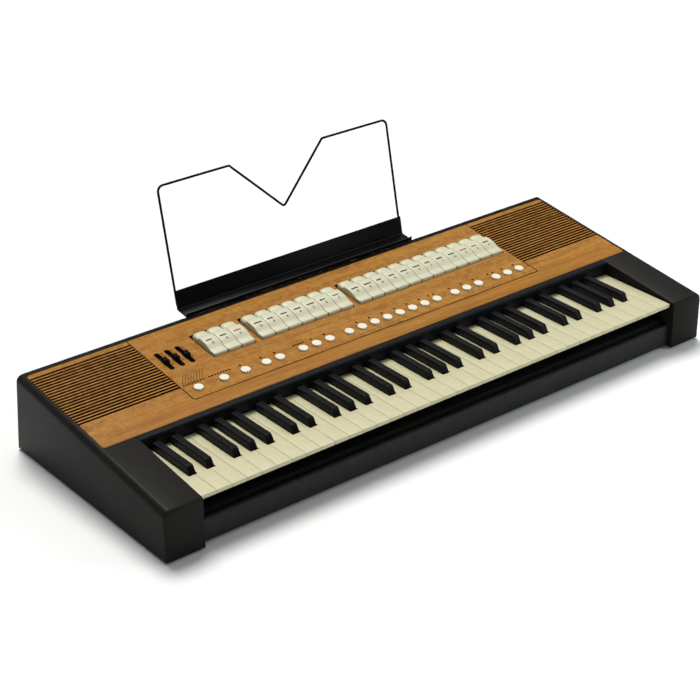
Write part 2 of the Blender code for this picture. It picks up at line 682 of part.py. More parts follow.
def make_keybed(surface):
    """The folded chassis under the keys, with its front stop rail and rear fixing block."""
    top_z = KEYBED_TOP_Z
    front_y, rear_y = KEYBED_Y
    path = [(rear_y, KEYBED_FOOT_Z), (rear_y, top_z), (front_y, top_z), (front_y, KEYBED_FOOT_Z)]
    folds = rounded(path, (0.0, 0.002, 0.002, 0.0), 2)
    half = CHEEK_INNER_X - 0.001
    chassis = folded_sheet(folds, 0.0016, -half, half)
    stop_rail = box((-half + 0.004, STOP_RAIL_Y[0], top_z - 0.001),
                    (half - 0.004, STOP_RAIL_Y[1], top_z + 0.004))
    block = box((-half + 0.004, STRIP_FRONT_Y + 0.001, top_z - 0.001),
                (half - 0.004, STRIP_REAR_Y, KEY_BODY_BOTTOM_Z - 0.0005))
    reach = BED_WINDOW_PITCH / 3
    windows = boxes([((BED_WINDOW_PITCH * index - reach, BED_WINDOW_Y[0], top_z - 0.004),
                      (BED_WINDOW_PITCH * index + reach, BED_WINDOW_Y[1], top_z + 0.004))
                     for index in range(-2, 3)])
    cut(fuse([chassis, stop_rail, block]), windows)
    return finish(chassis, "keybed", Matrix.Translation((0, 0, top_z)), surface)


def tab_outline():
    """Side view of a tab in (s, h): front plateau, ramp, raised area, rear crest and clip for the rod."""
    clip_left, clip_right = TAB_PIVOT_S - TAB_CLIP_RADIUS, TAB_PIVOT_S + TAB_CLIP_RADIUS
    clip_top = TAB_PIVOT_H + TAB_CLIP_RADIUS
    chamfer = TAB_CLIP_RADIUS * 0.55
    return [(TAB_S[0], -0.0038), (0.0967, 0.0024), (0.0980, 0.0043), (0.1060, 0.0041), (0.1108, 0.0053),
            (0.1155, 0.0073), (0.1205, 0.0087), (0.1270, 0.0092), (0.1340, 0.0091), (0.1378, 0.0081),
            (0.1420, 0.0060), (0.1490, 0.0058), (0.1530, 0.0048), (0.1552, 0.0022), (TAB_S[1], -0.0038),
            (0.1325, TAB_FOOT_H), (clip_right, TAB_FOOT_H), (clip_right, clip_top - chamfer),
            (clip_right - chamfer, clip_top), (clip_left + chamfer, clip_top),
            (clip_left, clip_top - chamfer), (clip_left, TAB_FOOT_H), (0.1215, TAB_FOOT_H)]


def make_tabs(surface):
    """The rocking tabs, each clipped on the rod."""
    number = 0
    for start, count in TAB_GROUPS:
        for index in range(count):
            number += 1
            left = start + index * TAB_PITCH
            right = left + TAB_PITCH - TAB_GAP
            tab = plate(tab_outline(), left, right, PANEL_MATRIX @ ALONG_X)
            side_x = (right - left) / 2 - 1e-6
            bevel_edges(tab, TAB_EDGE, 1, lambda a, b: abs(a.z) > side_x and abs(b.z) > side_x
                        and a.z * b.z > 0 and a.y > 0.002 and b.y > 0.002)
            corners = [(left, TAB_S[0]), (right, TAB_S[0]), (right, TAB_S[1]), (left, TAB_S[1])]
            plan = rounded(corners, [TAB_FRONT_CORNER] * 2 + [TAB_REAR_CORNER] * 2, 3)
            combine(tab, plate(plan, -0.02, 0.02, PANEL_MATRIX), "INTERSECT")
            pivot = PANEL_MATRIX @ Matrix.Translation(((left + right) / 2, TAB_PIVOT_S, TAB_PIVOT_H))
            finish(tab, f"stop_tab_{number:02d}", pivot, surface)


def button_cap(x):
    """A round cap with a shallow dish and a rounded rim, standing on the bar under the wood."""
    radius, height = BUTTON_RADIUS, BUTTON_HEIGHT
    profile = [(0.0, height * 0.90), (radius * 0.84, height), (radius * 0.96, height * 0.80),
               (radius, height * 0.50), (radius, -0.0085), (0.0, -0.0085)]
    return turned(profile, BUTTON_SIDES, PANEL_MATRIX @ Matrix.Translation((x, BUTTON_S, 0.0)))


def make_button_strips(surface):
    """Each group of push buttons on its carrier bar."""
    for number, (first, count) in enumerate(BUTTON_GROUPS, start=1):
        last = first + BUTTON_PITCH * (count - 1)
        bar = box((first - 0.009, BUTTON_S - 0.0055, -0.0095), (last + 0.009, BUTTON_S + 0.0055, -0.0075),
                  PANEL_MATRIX)
        caps = [button_cap(first + BUTTON_PITCH * index) for index in range(count)]
        origin = PANEL_MATRIX @ Matrix.Translation(((first + last) / 2, BUTTON_S, 0.0))
        finish(fuse([bar] + caps), f"button_strip_{number}", origin, surface)


def make_faders(surface):
    """Fader caps with a finger hollow, each on a blade that goes down through its slot."""
    half_length, half_width = CAP_LENGTH / 2, CAP_WIDTH / 2
    side_view = [(-half_length, 0.0005), (half_length, 0.0005), (half_length * 0.72, CAP_HEIGHT),
                 (half_length * 0.36, CAP_HEIGHT * 0.86), (0.0, CAP_HEIGHT * 0.80),
                 (-half_length * 0.36, CAP_HEIGHT * 0.86), (-half_length * 0.72, CAP_HEIGHT)]
    for number, (x, s) in enumerate(zip(FADER_X, FADER_S), start=1):
        place = PANEL_MATRIX @ Matrix.Translation((x, s, 0.0))
        cap = plate(side_view, -half_width, half_width, place @ ALONG_X)
        side_z = half_width - 1e-6
        bevel_edges(cap, 0.0006, 1, lambda a, b: abs(a.z) > side_z and abs(b.z) > side_z
                    and a.z * b.z > 0 and a.y > 0.001 and b.y > 0.001)
        blade = box((-0.0007, -0.0025, -0.0112), (0.0007, 0.0025, 0.002), place)
        finish(fuse([cap, blade]), f"fader_{number}", place, surface)


def make_control_chassis(surface):
    """The tray hung under the wood, with the tab rod on its posts, fader bodies and switch blocks."""
    floor_h, lip_h, half = TRAY_FLOOR_H, -WOOD_THICKNESS - CLEARANCE, TRAY_HALF_WIDTH
    path = [(-half, lip_h), (-half, floor_h), (half, floor_h), (half, lip_h)]
    quarter_turn = Matrix.Rotation(-math.pi / 2, 4, "Z")
    tray = folded_sheet(path, TRAY_SHEET, -TRAY_S[1], -TRAY_S[0], PANEL_MATRIX @ quarter_turn)
    top_h = floor_h + TRAY_SHEET
    posts = [((x - 0.0015, TAB_PIVOT_S - 0.005, top_h - 0.0004),
              (x + 0.0015, TAB_PIVOT_S + 0.005, TAB_PIVOT_H + 0.0021))
             for x in ROD_POST_X]
    rod_middle = (ROD_POST_X[0] + ROD_POST_X[-1]) / 2
    rod_length = ROD_POST_X[-1] - ROD_POST_X[0] + 0.003
    rod = cylinders([(TAB_PIVOT_S, TAB_PIVOT_H, rod_middle)], TAB_ROD_RADIUS, rod_length, 8,
                    PANEL_MATRIX @ ALONG_X)
    switches = [((first - 0.005, BUTTON_S - 0.004, top_h - 0.0004),
                 (first + BUTTON_PITCH * (count - 1) + 0.005, BUTTON_S + 0.004, -0.0111))
                for first, count in BUTTON_GROUPS]
    fader_bodies = [((x - 0.0045, 0.096, top_h - 0.0004), (x + 0.0045, 0.1545, -0.009)) for x in FADER_X]
    fader_slots = [((x - 0.0013, 0.1015, -0.012), (x + 0.0013, 0.149, -0.008)) for x in FADER_X]
    fuse([tray, boxes(posts, PANEL_MATRIX), rod, boxes(switches, PANEL_MATRIX),
          boxes(fader_bodies, PANEL_MATRIX)])
    cut(tray, boxes(fader_slots, PANEL_MATRIX))
    return finish(tray, "control_chassis", PANEL_MATRIX, surface)


def make_speaker(name, side, surface):
    """A round driver: rim, basket cone and magnet, open at the front."""
    rim = SPEAKER_RADIUS
    profile = [(0.0, -0.0160), (0.014, -0.0175), (rim - 0.012, -0.0068), (rim - 0.005, -0.0056),
               (rim, -0.0056), (rim, -0.0080), (rim - 0.008, -0.0086), (0.026, -0.0230), (0.026, -0.0330),
               (0.0, -0.0330)]
    driver = turned(profile, 16, PANEL_MATRIX @ Matrix.Translation((side * SPEAKER_X, SPEAKER_S, 0.0)))
    origin = PANEL_MATRIX @ Matrix.Translation((side * SPEAKER_X, SPEAKER_S, 0.0))
    return finish(driver, name, origin, surface)


def make_music_rest(surface):
    """Tray with front lip and back band, wire frame with its V notch, and the two hanger plates."""
    base_h = CLEARANCE
    lean = Vector((math.sin(REST_LEAN), math.cos(REST_LEAN)))
    fold = Vector((REST_FOLD_S, base_h))
    band_top = fold + lean * REST_BAND_HEIGHT
    path = [(REST_LIP_S, base_h + REST_LIP_HEIGHT), (REST_LIP_S, base_h), tuple(fold), tuple(band_top)]
    folds = rounded(path, (0.0, REST_LIP_FOLD, REST_BAND_FOLD, 0.0), 3)
    sheet = folded_sheet(folds, REST_SHEET, -REST_HALF_WIDTH, REST_HALF_WIDTH, PANEL_MATRIX)
    wire_offset = REST_SHEET / 2 + REST_WIRE_RADIUS - 0.0009
    rear = Vector((lean.y, -lean.x))
    frame_origin = fold + rear * wire_offset
    across, up = Vector((1, 0, 0)), Vector((0, lean.x, lean.y))
    away = across.cross(up)
    lean_matrix = Matrix.Translation((0, *frame_origin)) @ Matrix((across, up, away)).transposed().to_4x4()
    top, half = REST_WIRE_HEIGHT - REST_WIRE_RADIUS, REST_WIRE_HALF_WIDTH
    notch = REST_NOTCH_HALF_WIDTH
    outline = [(-half, 0.006), (-half, top), (-notch, top), (0.0, top - REST_NOTCH_DEPTH), (notch, top),
               (half, top), (half, 0.006)]
    drawn = rounded(outline, (0.0, REST_WIRE_CORNER, 0.006, 0.006, 0.006, REST_WIRE_CORNER, 0.0), 3)
    frame = wire([(x, y, 0.0) for x, y in drawn], REST_WIRE_RADIUS, PANEL_MATRIX @ lean_matrix)
    hangers = [((x - HANGER_HALF_WIDTH, CASE_REAR_S + 0.0005, -HANGER_LENGTH),
                (x + HANGER_HALF_WIDTH, CASE_REAR_S + 0.0018, base_h + 0.0006))
               for x in (-HANGER_X, HANGER_X)]
    fuse([sheet, frame, boxes(hangers, PANEL_MATRIX)])
    return finish(sheet, "music_rest", PANEL_MATRIX @ Matrix.Translation((0, REST_LIP_S, 0)), surface)


def make_connector_panel(surface):
    """The rear plate with its mains inlet, jack sockets and round sockets, each a blind hollow."""
    face_s = CASE_REAR_S - 0.0004
    body = box((PLATE_X[0], PLATE_BACK_S, PLATE_H[0]), (PLATE_X[1], face_s, PLATE_H[1]), PANEL_MATRIX)
    middle_h = (PLATE_H[0] + PLATE_H[1]) / 2
    along_s = PANEL_MATRIX @ Matrix.Rotation(-math.pi / 2, 4, "X")
    width, height = INLET_HALF_SIZE
    corners = [(INLET_X - width, middle_h - height), (INLET_X + width, middle_h - height),
               (INLET_X + width, middle_h + height), (INLET_X - width, middle_h + height)]
    outline = rounded(corners, (0.004, 0.004, 0.001, 0.001), 2)
    inlet = plate([(x, -h) for x, h in outline], face_s - 0.014, face_s + 0.005, along_s)
    depth = 0.012
    jacks = cylinders([(x, -middle_h, face_s) for x in JACK_X], JACK_RADIUS, 2 * depth, 12, along_s)
    rounds = cylinders([(x, -middle_h, face_s) for x in DIN_X], DIN_RADIUS, 2 * depth, 14, along_s)
    nuts = cylinders([(x, -middle_h, face_s - 0.001) for x in JACK_X], JACK_RADIUS + 0.0022, 0.005, 12,
                     along_s)
    cut(fuse([body, nuts]), inlet, jacks, rounds)
    origin = PANEL_MATRIX @ Matrix.Translation((sum(PLATE_X) / 2, face_s, middle_h))
    return finish(body, "connector_panel", origin, surface)


clear_scene()
PARTS = new_collection("electronic_organ")
BLACK_SATIN = material("black_satin", (0.020, 0.020, 0.021), 0.42)
BLACK_STEEL = material("black_steel", (0.016, 0.016, 0.017), 0.38, 0.3)
OAK = material("oak_veneer", (0.46, 0.24, 0.075), 0.48)
IVORY = material("ivory_plastic", (0.78, 0.74, 0.52), 0.30)
EBONY = material("ebony_plastic", (0.014, 0.014, 0.016), 0.28)
TAB_WHITE = material("tab_white", (0.72, 0.71, 0.58), 0.36)
BUTTON_WHITE = material("button_white", (0.84, 0.82, 0.74), 0.34)
CONE_PAPER = material("cone_paper", (0.045, 0.045, 0.048), 0.80)

make_cheek("left_cheek", -1, BLACK_SATIN)
make_cheek("right_cheek", 1, BLACK_SATIN)
make_case_shell(BLACK_STEEL)
make_front_rail(BLACK_STEEL)
make_fallboard(BLACK_SATIN)
make_wood_panel(OAK)
make_keybed(BLACK_STEEL)
make_key_sets(IVORY, EBONY)
make_tabs(TAB_WHITE)
make_button_strips(BUTTON_WHITE)
make_faders(EBONY)
make_control_chassis(BLACK_STEEL)
make_speaker("speaker_left", -1, CONE_PAPER)
make_speaker("speaker_right", 1, CONE_PAPER)
make_music_rest(BLACK_STEEL)
make_connector_panel(BLACK_STEEL)
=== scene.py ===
"""Looks of a portable electronic organ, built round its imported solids.

Each sub-assembly is a class that holds its sizes in metres, builds its meshes and dresses them. Two
frames are used: the world frame, with the keys facing -Y, and the panel frame (x, s, h) of the sloping
wood top, where s runs up the slope from the wood's front edge and h stands square to it.
"""

import json
import logging
import math
from dataclasses import dataclass
from enum import Enum
from typing import Callable, Iterable, Sequence

import bmesh
import bpy
from mathutils import Matrix, Vector

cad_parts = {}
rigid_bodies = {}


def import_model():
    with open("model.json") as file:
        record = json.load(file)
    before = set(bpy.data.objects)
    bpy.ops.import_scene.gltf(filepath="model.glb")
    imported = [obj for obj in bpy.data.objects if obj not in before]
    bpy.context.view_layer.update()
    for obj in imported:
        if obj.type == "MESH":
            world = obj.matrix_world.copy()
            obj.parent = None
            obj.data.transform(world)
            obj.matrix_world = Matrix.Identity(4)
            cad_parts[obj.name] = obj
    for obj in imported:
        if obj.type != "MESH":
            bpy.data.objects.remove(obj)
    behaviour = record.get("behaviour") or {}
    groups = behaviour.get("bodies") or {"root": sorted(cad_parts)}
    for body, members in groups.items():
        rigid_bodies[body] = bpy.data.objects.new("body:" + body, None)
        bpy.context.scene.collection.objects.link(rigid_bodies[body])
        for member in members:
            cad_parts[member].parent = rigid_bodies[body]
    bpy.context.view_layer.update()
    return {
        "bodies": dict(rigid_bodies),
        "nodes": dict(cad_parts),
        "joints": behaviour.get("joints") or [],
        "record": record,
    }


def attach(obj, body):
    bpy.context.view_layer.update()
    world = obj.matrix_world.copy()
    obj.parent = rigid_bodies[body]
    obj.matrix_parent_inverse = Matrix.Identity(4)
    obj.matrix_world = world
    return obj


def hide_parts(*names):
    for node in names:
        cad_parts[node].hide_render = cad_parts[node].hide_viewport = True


LOG = logging.getLogger("organ")
Point = tuple[float, ...]
Colour = tuple[float, float, float]
Socket = bpy.types.NodeSocket
Given = Socket | float | Colour

PANEL_SLOPE = math.radians(7.184)
PANEL_ORIGIN = Vector((0.0, -0.0544, 0.0958))
PANEL = Matrix.Translation(PANEL_ORIGIN) @ Matrix.Rotation(PANEL_SLOPE, 4, "X")
ALONG_X = Matrix(((0, 0, 1, 0), (1, 0, 0, 0), (0, 1, 0, 0), (0, 0, 0, 1)))
IDENTITY = Matrix.Identity(4)
TOUCHING = 1e-5  # points closer than this count as one
CLEARANCE = 0.0003  # gap between neighbouring pieces of the case
THROUGH = 0.01  # how far a cutter reaches past a face
INK_THICKNESS = 0.00004
CASE_REAR_S = 0.2022
WHITE_PITCH = 0.02357
KEYBOARD_LEFT_X = -18 * WHITE_PITCH
BUTTON_GROUPS = ((-0.2951, 1), (-0.2528, 1), (-0.2170, 1), (-0.1817, 2), (-0.1176, 3), (-0.0353, 8),
                 (0.1647, 3), (0.2472, 3))
BUTTON_S = 0.0465
TAB_GROUPS = ((-0.2334, 3), (-0.1512, 7), (0.0252, 12))
TAB_GAP = 0.0008
CONTROL_PITCH = 0.02355
FADER_X = (-0.2986, -0.2816, -0.2646)
FADER_S = (0.1212, 0.1212, 0.1204)
SPEAKER_X = 0.395
SPEAKER_S = 0.128


class Slot(Enum):
    """The record's material slots."""

    BLACK_SATIN = "black_satin"
    BLACK_STEEL = "black_steel"
    OAK = "oak"
    IVORY = "ivory"
    EBONY = "ebony"
    TAB_WHITE = "tab_white"
    BUTTON_WHITE = "button_white"
    CONE_PAPER = "cone_paper"


class Graph:
    """Adds nodes to one node tree, taking values or links for their sockets."""

    def __init__(self, tree: bpy.types.NodeTree) -> None:
        """Keep the tree that nodes are added to."""
        self.tree = tree

    def add(self, kind: str, values: dict | None = None, **settings: object) -> bpy.types.Node:
        """Add a node.

        Args:
            kind: The node's type after "ShaderNode".
            values: Socket names or numbers with a value or an output socket to link.
            **settings: Properties of the node.

        Returns:
            The new node.
        """
        node = self.tree.nodes.new("ShaderNode" + kind)
        for name, value in settings.items():
            setattr(node, name, value)
        for key, value in (values or {}).items():
            if isinstance(value, Socket):
                self.tree.links.new(value, node.inputs[key])
            else:
                node.inputs[key].default_value = value
        return node

    def math(self, operation: str, a: Given, b: Given = 0.0, clamp: bool = False) -> Socket:
        """The result of one sum on two values or sockets."""
        return self.add("Math", {0: a, 1: b}, operation=operation, use_clamp=clamp).outputs[0]

    def mix(self, factor: Given, a: Given, b: Given) -> Socket:
        """A colour between a and b.

        Args:
            factor: Share of b.
            a: First colour or socket.
            b: Second colour or socket.

        Returns:
            The colour socket.
        """
        ends = {key: value if isinstance(value, Socket) else (*value, 1.0) for key, value in ((6, a), (7, b))}
        return self.add("Mix", {0: factor, **ends}, data_type="RGBA").outputs[2]

    def ramp(self, value: Given, low: float, high: float, to_low: Given = 0.0,
             to_high: float = 1.0) -> Socket:
        """Map a value from one range to another, smoothly and within its ends."""
        return self.add("MapRange", {0: value, 1: low, 2: high, 3: to_low, 4: to_high},
                        interpolation_type="SMOOTHSTEP").outputs[0]

    def noise(self, vector: Socket, scale: Given, detail: float = 3.0, roughness: float = 0.5,
              distortion: float = 0.0) -> Socket:
        """A noise value round 0.5."""
        return self.add("TexNoise", {"Vector": vector, "Scale": scale, "Detail": detail,
                                     "Roughness": roughness, "Distortion": distortion}).outputs["Fac"]

    def stretched(self, vector: Socket, along: float, across: float) -> Socket:
        """The vector scaled by one factor along X and another across it."""
        scale = (along, across, across)
        return self.add("VectorMath", {0: vector, 1: scale}, operation="MULTIPLY").outputs[0]

    def cover(self, shader: bpy.types.Node, colour: Socket, rough: Socket, height: Socket, depth: float,
              distance: float) -> None:
        """Link a surface's colour, roughness and relief to a shader.

        Args:
            shader: The material's Principled node.
            colour: The colour.
            rough: The roughness.
            height: The relief.
            depth: Strength of the relief.
            distance: Height of the relief in metres.
        """
        bump = self.add("Bump", {"Height": height, "Strength": depth, "Distance": distance}).outputs[0]
        for name, socket in (("Base Color", colour), ("Roughness", rough), ("Normal", bump)):
            self.tree.links.new(socket, shader.inputs[name])


def shader_group(name: str, inputs: dict[str, float], outputs: Sequence[str],
                 fill: Callable[[Graph, dict[str, Socket]], Sequence[Socket]]) -> bpy.types.NodeTree:
    """A node group with a Vector input, built the first time it is asked for.

    Args:
        name: The group's name.
        inputs: Names and defaults of the numbers that go in beside the Vector.
        outputs: Names of the values that come out.
        fill: Adds the nodes between and returns a socket for each output.

    Returns:
        The group's node tree.
    """
    found = bpy.data.node_groups.get(name)
    if found:
        return found
    tree = bpy.data.node_groups.new(name, "ShaderNodeTree")
    tree.interface.new_socket("Vector", in_out="INPUT", socket_type="NodeSocketVector")
    for label, default in inputs.items():
        socket = tree.interface.new_socket(label, in_out="INPUT", socket_type="NodeSocketFloat")
        socket.default_value = default
    for label in outputs:
        tree.interface.new_socket(label, in_out="OUTPUT", socket_type="NodeSocketFloat")
    given, out = tree.nodes.new("NodeGroupInput"), tree.nodes.new("NodeGroupOutput")
    for label, value in zip(outputs, fill(Graph(tree), given.outputs)):
        tree.links.new(value, out.inputs[label])
    return tree


def moulding_group() -> bpy.types.NodeTree:
    """Fine texture and slow unevenness of a moulded or coated surface.

    Returns:
        The group's node tree.
    """
    def fill(graph: Graph, given: dict[str, Socket]) -> Sequence[Socket]:
        """Relief and the mask of slow patches."""
        patch = graph.noise(given["Vector"], graph.math("MULTIPLY", given["Scale"], 0.012), 3.0, 0.55, 0.4)
        return graph.noise(given["Vector"], given["Scale"], 4.0, 0.6), graph.ramp(patch, 0.32, 0.68)

    return shader_group("moulded_texture", {"Scale": 900.0}, ("Height", "Patch"), fill)


def edge_scuff_and_highlight_group() -> bpy.types.NodeTree:
    """Mask of convex edges, broken up by noise: scuffing on some finishes, a painted edge highlight on
    others.

    Returns:
        The group's node tree.
    """
    def fill(graph: Graph, given: dict[str, Socket]) -> Sequence[Socket]:
        """Convex edges, less what the noise breaks out of them.

        Args:
            graph: The group's graph.
            given: The group's input sockets.

        Returns:
            The mask.
        """
        edge = graph.ramp(graph.add("NewGeometry").outputs["Pointiness"], 0.505, 0.58)
        broken = graph.ramp(graph.noise(given["Vector"], 90.0, 4.0, 0.65), 0.42, 0.62, given["Even"])
        return (graph.math("MULTIPLY", graph.math("MULTIPLY", edge, broken), given["Amount"], True),)

    return shader_group("edge_scuff_and_painted_highlight", {"Amount": 0.5, "Even": 0.0}, ("Mask",), fill)


def dust_group() -> bpy.types.NodeTree:
    """Mask of thin dust on faces that look up.

    Returns:
        The group's node tree.
    """
    def fill(graph: Graph, given: dict[str, Socket]) -> Sequence[Socket]:
        """Upward faces, less what the noise leaves clean.

        Args:
            graph: The group's graph.
            given: The group's input sockets.

        Returns:
            The mask.
        """
        normal = graph.add("SeparateXYZ", {0: graph.add("NewGeometry").outputs["Normal"]}).outputs[2]
        drift = graph.ramp(graph.noise(given["Vector"], 14.0, 5.0, 0.7), 0.38, 0.70)
        upward = graph.math("MULTIPLY", graph.ramp(normal, 0.55, 0.98), drift)
        return (graph.math("MULTIPLY", upward, given["Amount"], True),)

    return shader_group("settled_dust", {"Amount": 0.1}, ("Mask",), fill)


def grain_group() -> bpy.types.NodeTree:
    """Figure, fibres and pores of wood whose grain runs along X.

    Returns:
        The group's node tree.
    """
    def fill(graph: Graph, given: dict[str, Socket]) -> Sequence[Socket]:
        """Broad figure, fine fibres, dark pores and slow changes of colour.

        Args:
            graph: The group's graph.
            given: The group's input sockets.

        Returns:
            The four masks in that order.
        """
        vector = given["Vector"]
        sway = graph.noise(graph.stretched(vector, 3.0, 16.0), 1.0, 2.0)
        figure = graph.add("TexWave", {"Vector": graph.stretched(vector, 0.9, 11.0), "Scale": given["Figure"],
                                       "Distortion": 5.5, "Detail": 3.0, "Detail Scale": 1.2,
                                       "Phase Offset": graph.math("MULTIPLY", sway, 9.0)},
                           wave_type="BANDS", bands_direction="Y", wave_profile="SIN").outputs["Fac"]
        fibre = graph.noise(graph.stretched(vector, 14.0, 620.0), 1.0, 4.0, 0.7)
        strand = graph.noise(graph.stretched(vector, 11.0, 230.0), 1.0, 4.0, 0.7)
        threads = graph.math("ADD", graph.math("MULTIPLY", fibre, 0.4), graph.math("MULTIPLY", strand, 0.6))
        pore = graph.noise(graph.stretched(vector, 60.0, 1500.0), 1.0, 1.0)
        blush = graph.noise(vector, 7.0, 2.0, 0.5, 0.5)
        return figure, threads, graph.ramp(pore, 0.60, 0.72), graph.ramp(blush, 0.35, 0.65)

    return shader_group("wood_grain", {"Figure": 1.0}, ("Figure", "Fibre", "Pores", "Blush"), fill)


@dataclass(frozen=True)
class Finish:
    """A surface finish with its name and its slot in the record."""

    name: str
    slot: Slot | None = None

    def material(self) -> bpy.types.Material:
        """The finish's material, built the first time it is asked for.

        Returns:
            The material.
        """
        found = bpy.data.materials.get(self.name)
        if found:
            return found
        made = bpy.data.materials.new(self.name)
        made.use_nodes = True
        graph = Graph(made.node_tree)
        self.dress(graph, made.node_tree.nodes["Principled BSDF"], graph.add("TexCoord").outputs["Object"])
        return made

    def dress(self, graph: Graph, shader: bpy.types.Node, vector: Socket) -> None:
        """Fill the material's nodes.

        Args:
            graph: The material's graph.
            shader: Its Principled node.
            vector: Object coordinates.
        """
        raise NotImplementedError


def set_values(shader: bpy.types.Node, **values: float | Point) -> None:
    """Set plain values on the shader's own sockets, with _ for a space in a socket's name."""
    for name, value in values.items():
        shader.inputs[name.replace("_", " ")].default_value = value


@dataclass(frozen=True)
class Moulded(Finish):
    """Moulded plastic or satin coating with a fine texture, lighter convex edges and a little dust; the
    lighter edges are scuffing on some finishes and a painted edge highlight on others.
    """

    colour: Colour = (0.02, 0.02, 0.02)
    edge_colour_scuffed_and_lit: Colour = (0.06, 0.06, 0.06)
    roughness: float = 0.45
    spread: float = 0.03
    scale: float = 900.0
    depth: float = 0.08
    tone: float = 0.08
    # Share of the lighter edge colour and how little the noise breaks it: scuffing, and on the sharps, rail
    # and nosing a painted edge highlight.
    edge_scuff_and_highlight: float = 0.4
    even: float = 0.0
    dust: float = 0.01
    specular: float = 0.5
    coat: float = 0.0
    glow: float = 0.0

    def dress(self, graph: Graph, shader: bpy.types.Node, vector: Socket) -> None:
        """Fill the material's nodes.

        Args:
            graph: The material's graph.
            shader: Its Principled node.
            vector: Object coordinates.
        """
        texture = graph.add("Group", {"Vector": vector, "Scale": self.scale}, node_tree=moulding_group())
        edge_scuff_and_highlight = graph.add("Group", {"Vector": vector, "Amount": self.edge_scuff_and_highlight, "Even": self.even},
                         node_tree=edge_scuff_and_highlight_group()).outputs["Mask"]
        dust = graph.add("Group", {"Vector": vector, "Amount": self.dust}, node_tree=dust_group())
        deep = tuple(value * (1 - self.tone) for value in self.colour)
        # Convex edges take the lighter edge colour: scuffing on some finishes, a painted edge highlight on
        # others.
        edge_scuffed_and_lit = graph.mix(edge_scuff_and_highlight, graph.mix(texture.outputs["Patch"], self.colour, deep), self.edge_colour_scuffed_and_lit)
        colour = graph.mix(dust.outputs["Mask"], edge_scuffed_and_lit, (0.32, 0.30, 0.27))
        rough = graph.ramp(texture.outputs["Patch"], 0.0, 1.0, self.roughness - self.spread,
                           self.roughness + self.spread)
        rough = graph.math("SUBTRACT", rough, graph.math("MULTIPLY", edge_scuff_and_highlight, 0.12), True)
        graph.cover(shader, colour, rough, texture.outputs["Height"], self.depth, 0.0004)
        set_values(shader, Specular_IOR_Level=self.specular, Coat_Weight=self.coat, Coat_Roughness=0.12)
        if self.glow:
            set_values(shader, Subsurface_Weight=self.glow, Subsurface_Radius=(0.0012, 0.0009, 0.0006),
                       Subsurface_Scale=1.0)


@dataclass(frozen=True)
class Steel(Moulded):
    """Steel sheet or wire under a smooth black coating."""

    slot: Slot | None = Slot.BLACK_STEEL
    spread: float = 0.006
    scale: float = 1600.0
    depth: float = 0.02
    tone: float = 0.04
    edge_scuff_and_highlight: float = 0.30
    dust: float = 0.002


@dataclass(frozen=True)
class Ink(Moulded):
    """Printing ink: matt, thin and a little uneven."""

    roughness: float = 0.6
    scale: float = 2500.0
    depth: float = 0.02
    tone: float = 0.2
    edge_scuff_and_highlight: float = 0.0
    dust: float = 0.0


@dataclass(frozen=True)
class Wood(Finish):
    """Lacquered wood with its grain along X."""

    light: Colour = (0.460, 0.212, 0.034)
    dark: Colour = (0.190, 0.070, 0.010)
    pore: Colour = (0.095, 0.032, 0.006)
    blush: Colour = (0.370, 0.138, 0.018)
    edge_colour_scuffed_and_lit: Colour = (0.50, 0.28, 0.07)
    roughness: float = 0.46
    figure: float = 1.0

    def dress(self, graph: Graph, shader: bpy.types.Node, vector: Socket) -> None:
        """Fill the material's nodes.

        Args:
            graph: The material's graph.
            shader: Its Principled node.
            vector: Object coordinates.
        """
        grain = graph.add("Group", {"Vector": vector, "Figure": self.figure}, node_tree=grain_group()).outputs
        edge_scuff_and_highlight = graph.add("Group", {"Vector": vector, "Amount": 0.35}, node_tree=edge_scuff_and_highlight_group())
        band = graph.math("ADD", graph.math("MULTIPLY", grain["Figure"], 0.30),
                          graph.ramp(grain["Fibre"], 0.38, 0.62, 0.0, 0.60), True)
        colour = graph.mix(band, self.light, self.dark)
        for mask, share, tint in ((grain["Blush"], 0.45, self.blush), (grain["Pores"], 0.40, self.pore)):
            colour = graph.mix(graph.math("MULTIPLY", mask, share), colour, tint)
        colour = graph.mix(edge_scuff_and_highlight.outputs["Mask"], colour, self.edge_colour_scuffed_and_lit)
        rough = graph.ramp(grain["Fibre"], 0.3, 0.7, self.roughness - 0.05, self.roughness + 0.08)
        height = graph.math("SUBTRACT", grain["Fibre"], graph.math("MULTIPLY", grain["Pores"], 0.7))
        graph.cover(shader, colour, rough, height, 0.12, 0.0003)
        set_values(shader, Coat_Weight=0.0, Coat_Roughness=0.30, Specular_IOR_Level=0.07)


@dataclass(frozen=True)
class Plated(Finish):
    """Rolled and zinc-plated sheet with faint rolling lines and stains."""

    colour: Colour = (0.50, 0.51, 0.52)
    roughness: float = 0.36

    def dress(self, graph: Graph, shader: bpy.types.Node, vector: Socket) -> None:
        """Fill the material's nodes.

        Args:
            graph: The material's graph.
            shader: Its Principled node.
            vector: Object coordinates.
        """
        texture = graph.add("Group", {"Vector": vector, "Scale": 700.0}, node_tree=moulding_group())
        lines = graph.noise(graph.stretched(vector, 12.0, 900.0), 1.0, 3.0, 0.7)
        stain = graph.ramp(texture.outputs["Patch"], 0.2, 1.0, 0.0, 0.5)
        colour = graph.mix(stain, self.colour, tuple(value * 0.72 for value in self.colour))
        rough = graph.ramp(lines, 0.3, 0.7, self.roughness - 0.06, self.roughness + 0.12)
        graph.cover(shader, colour, rough, lines, 0.06, 0.0002)
        set_values(shader, Metallic=1.0)


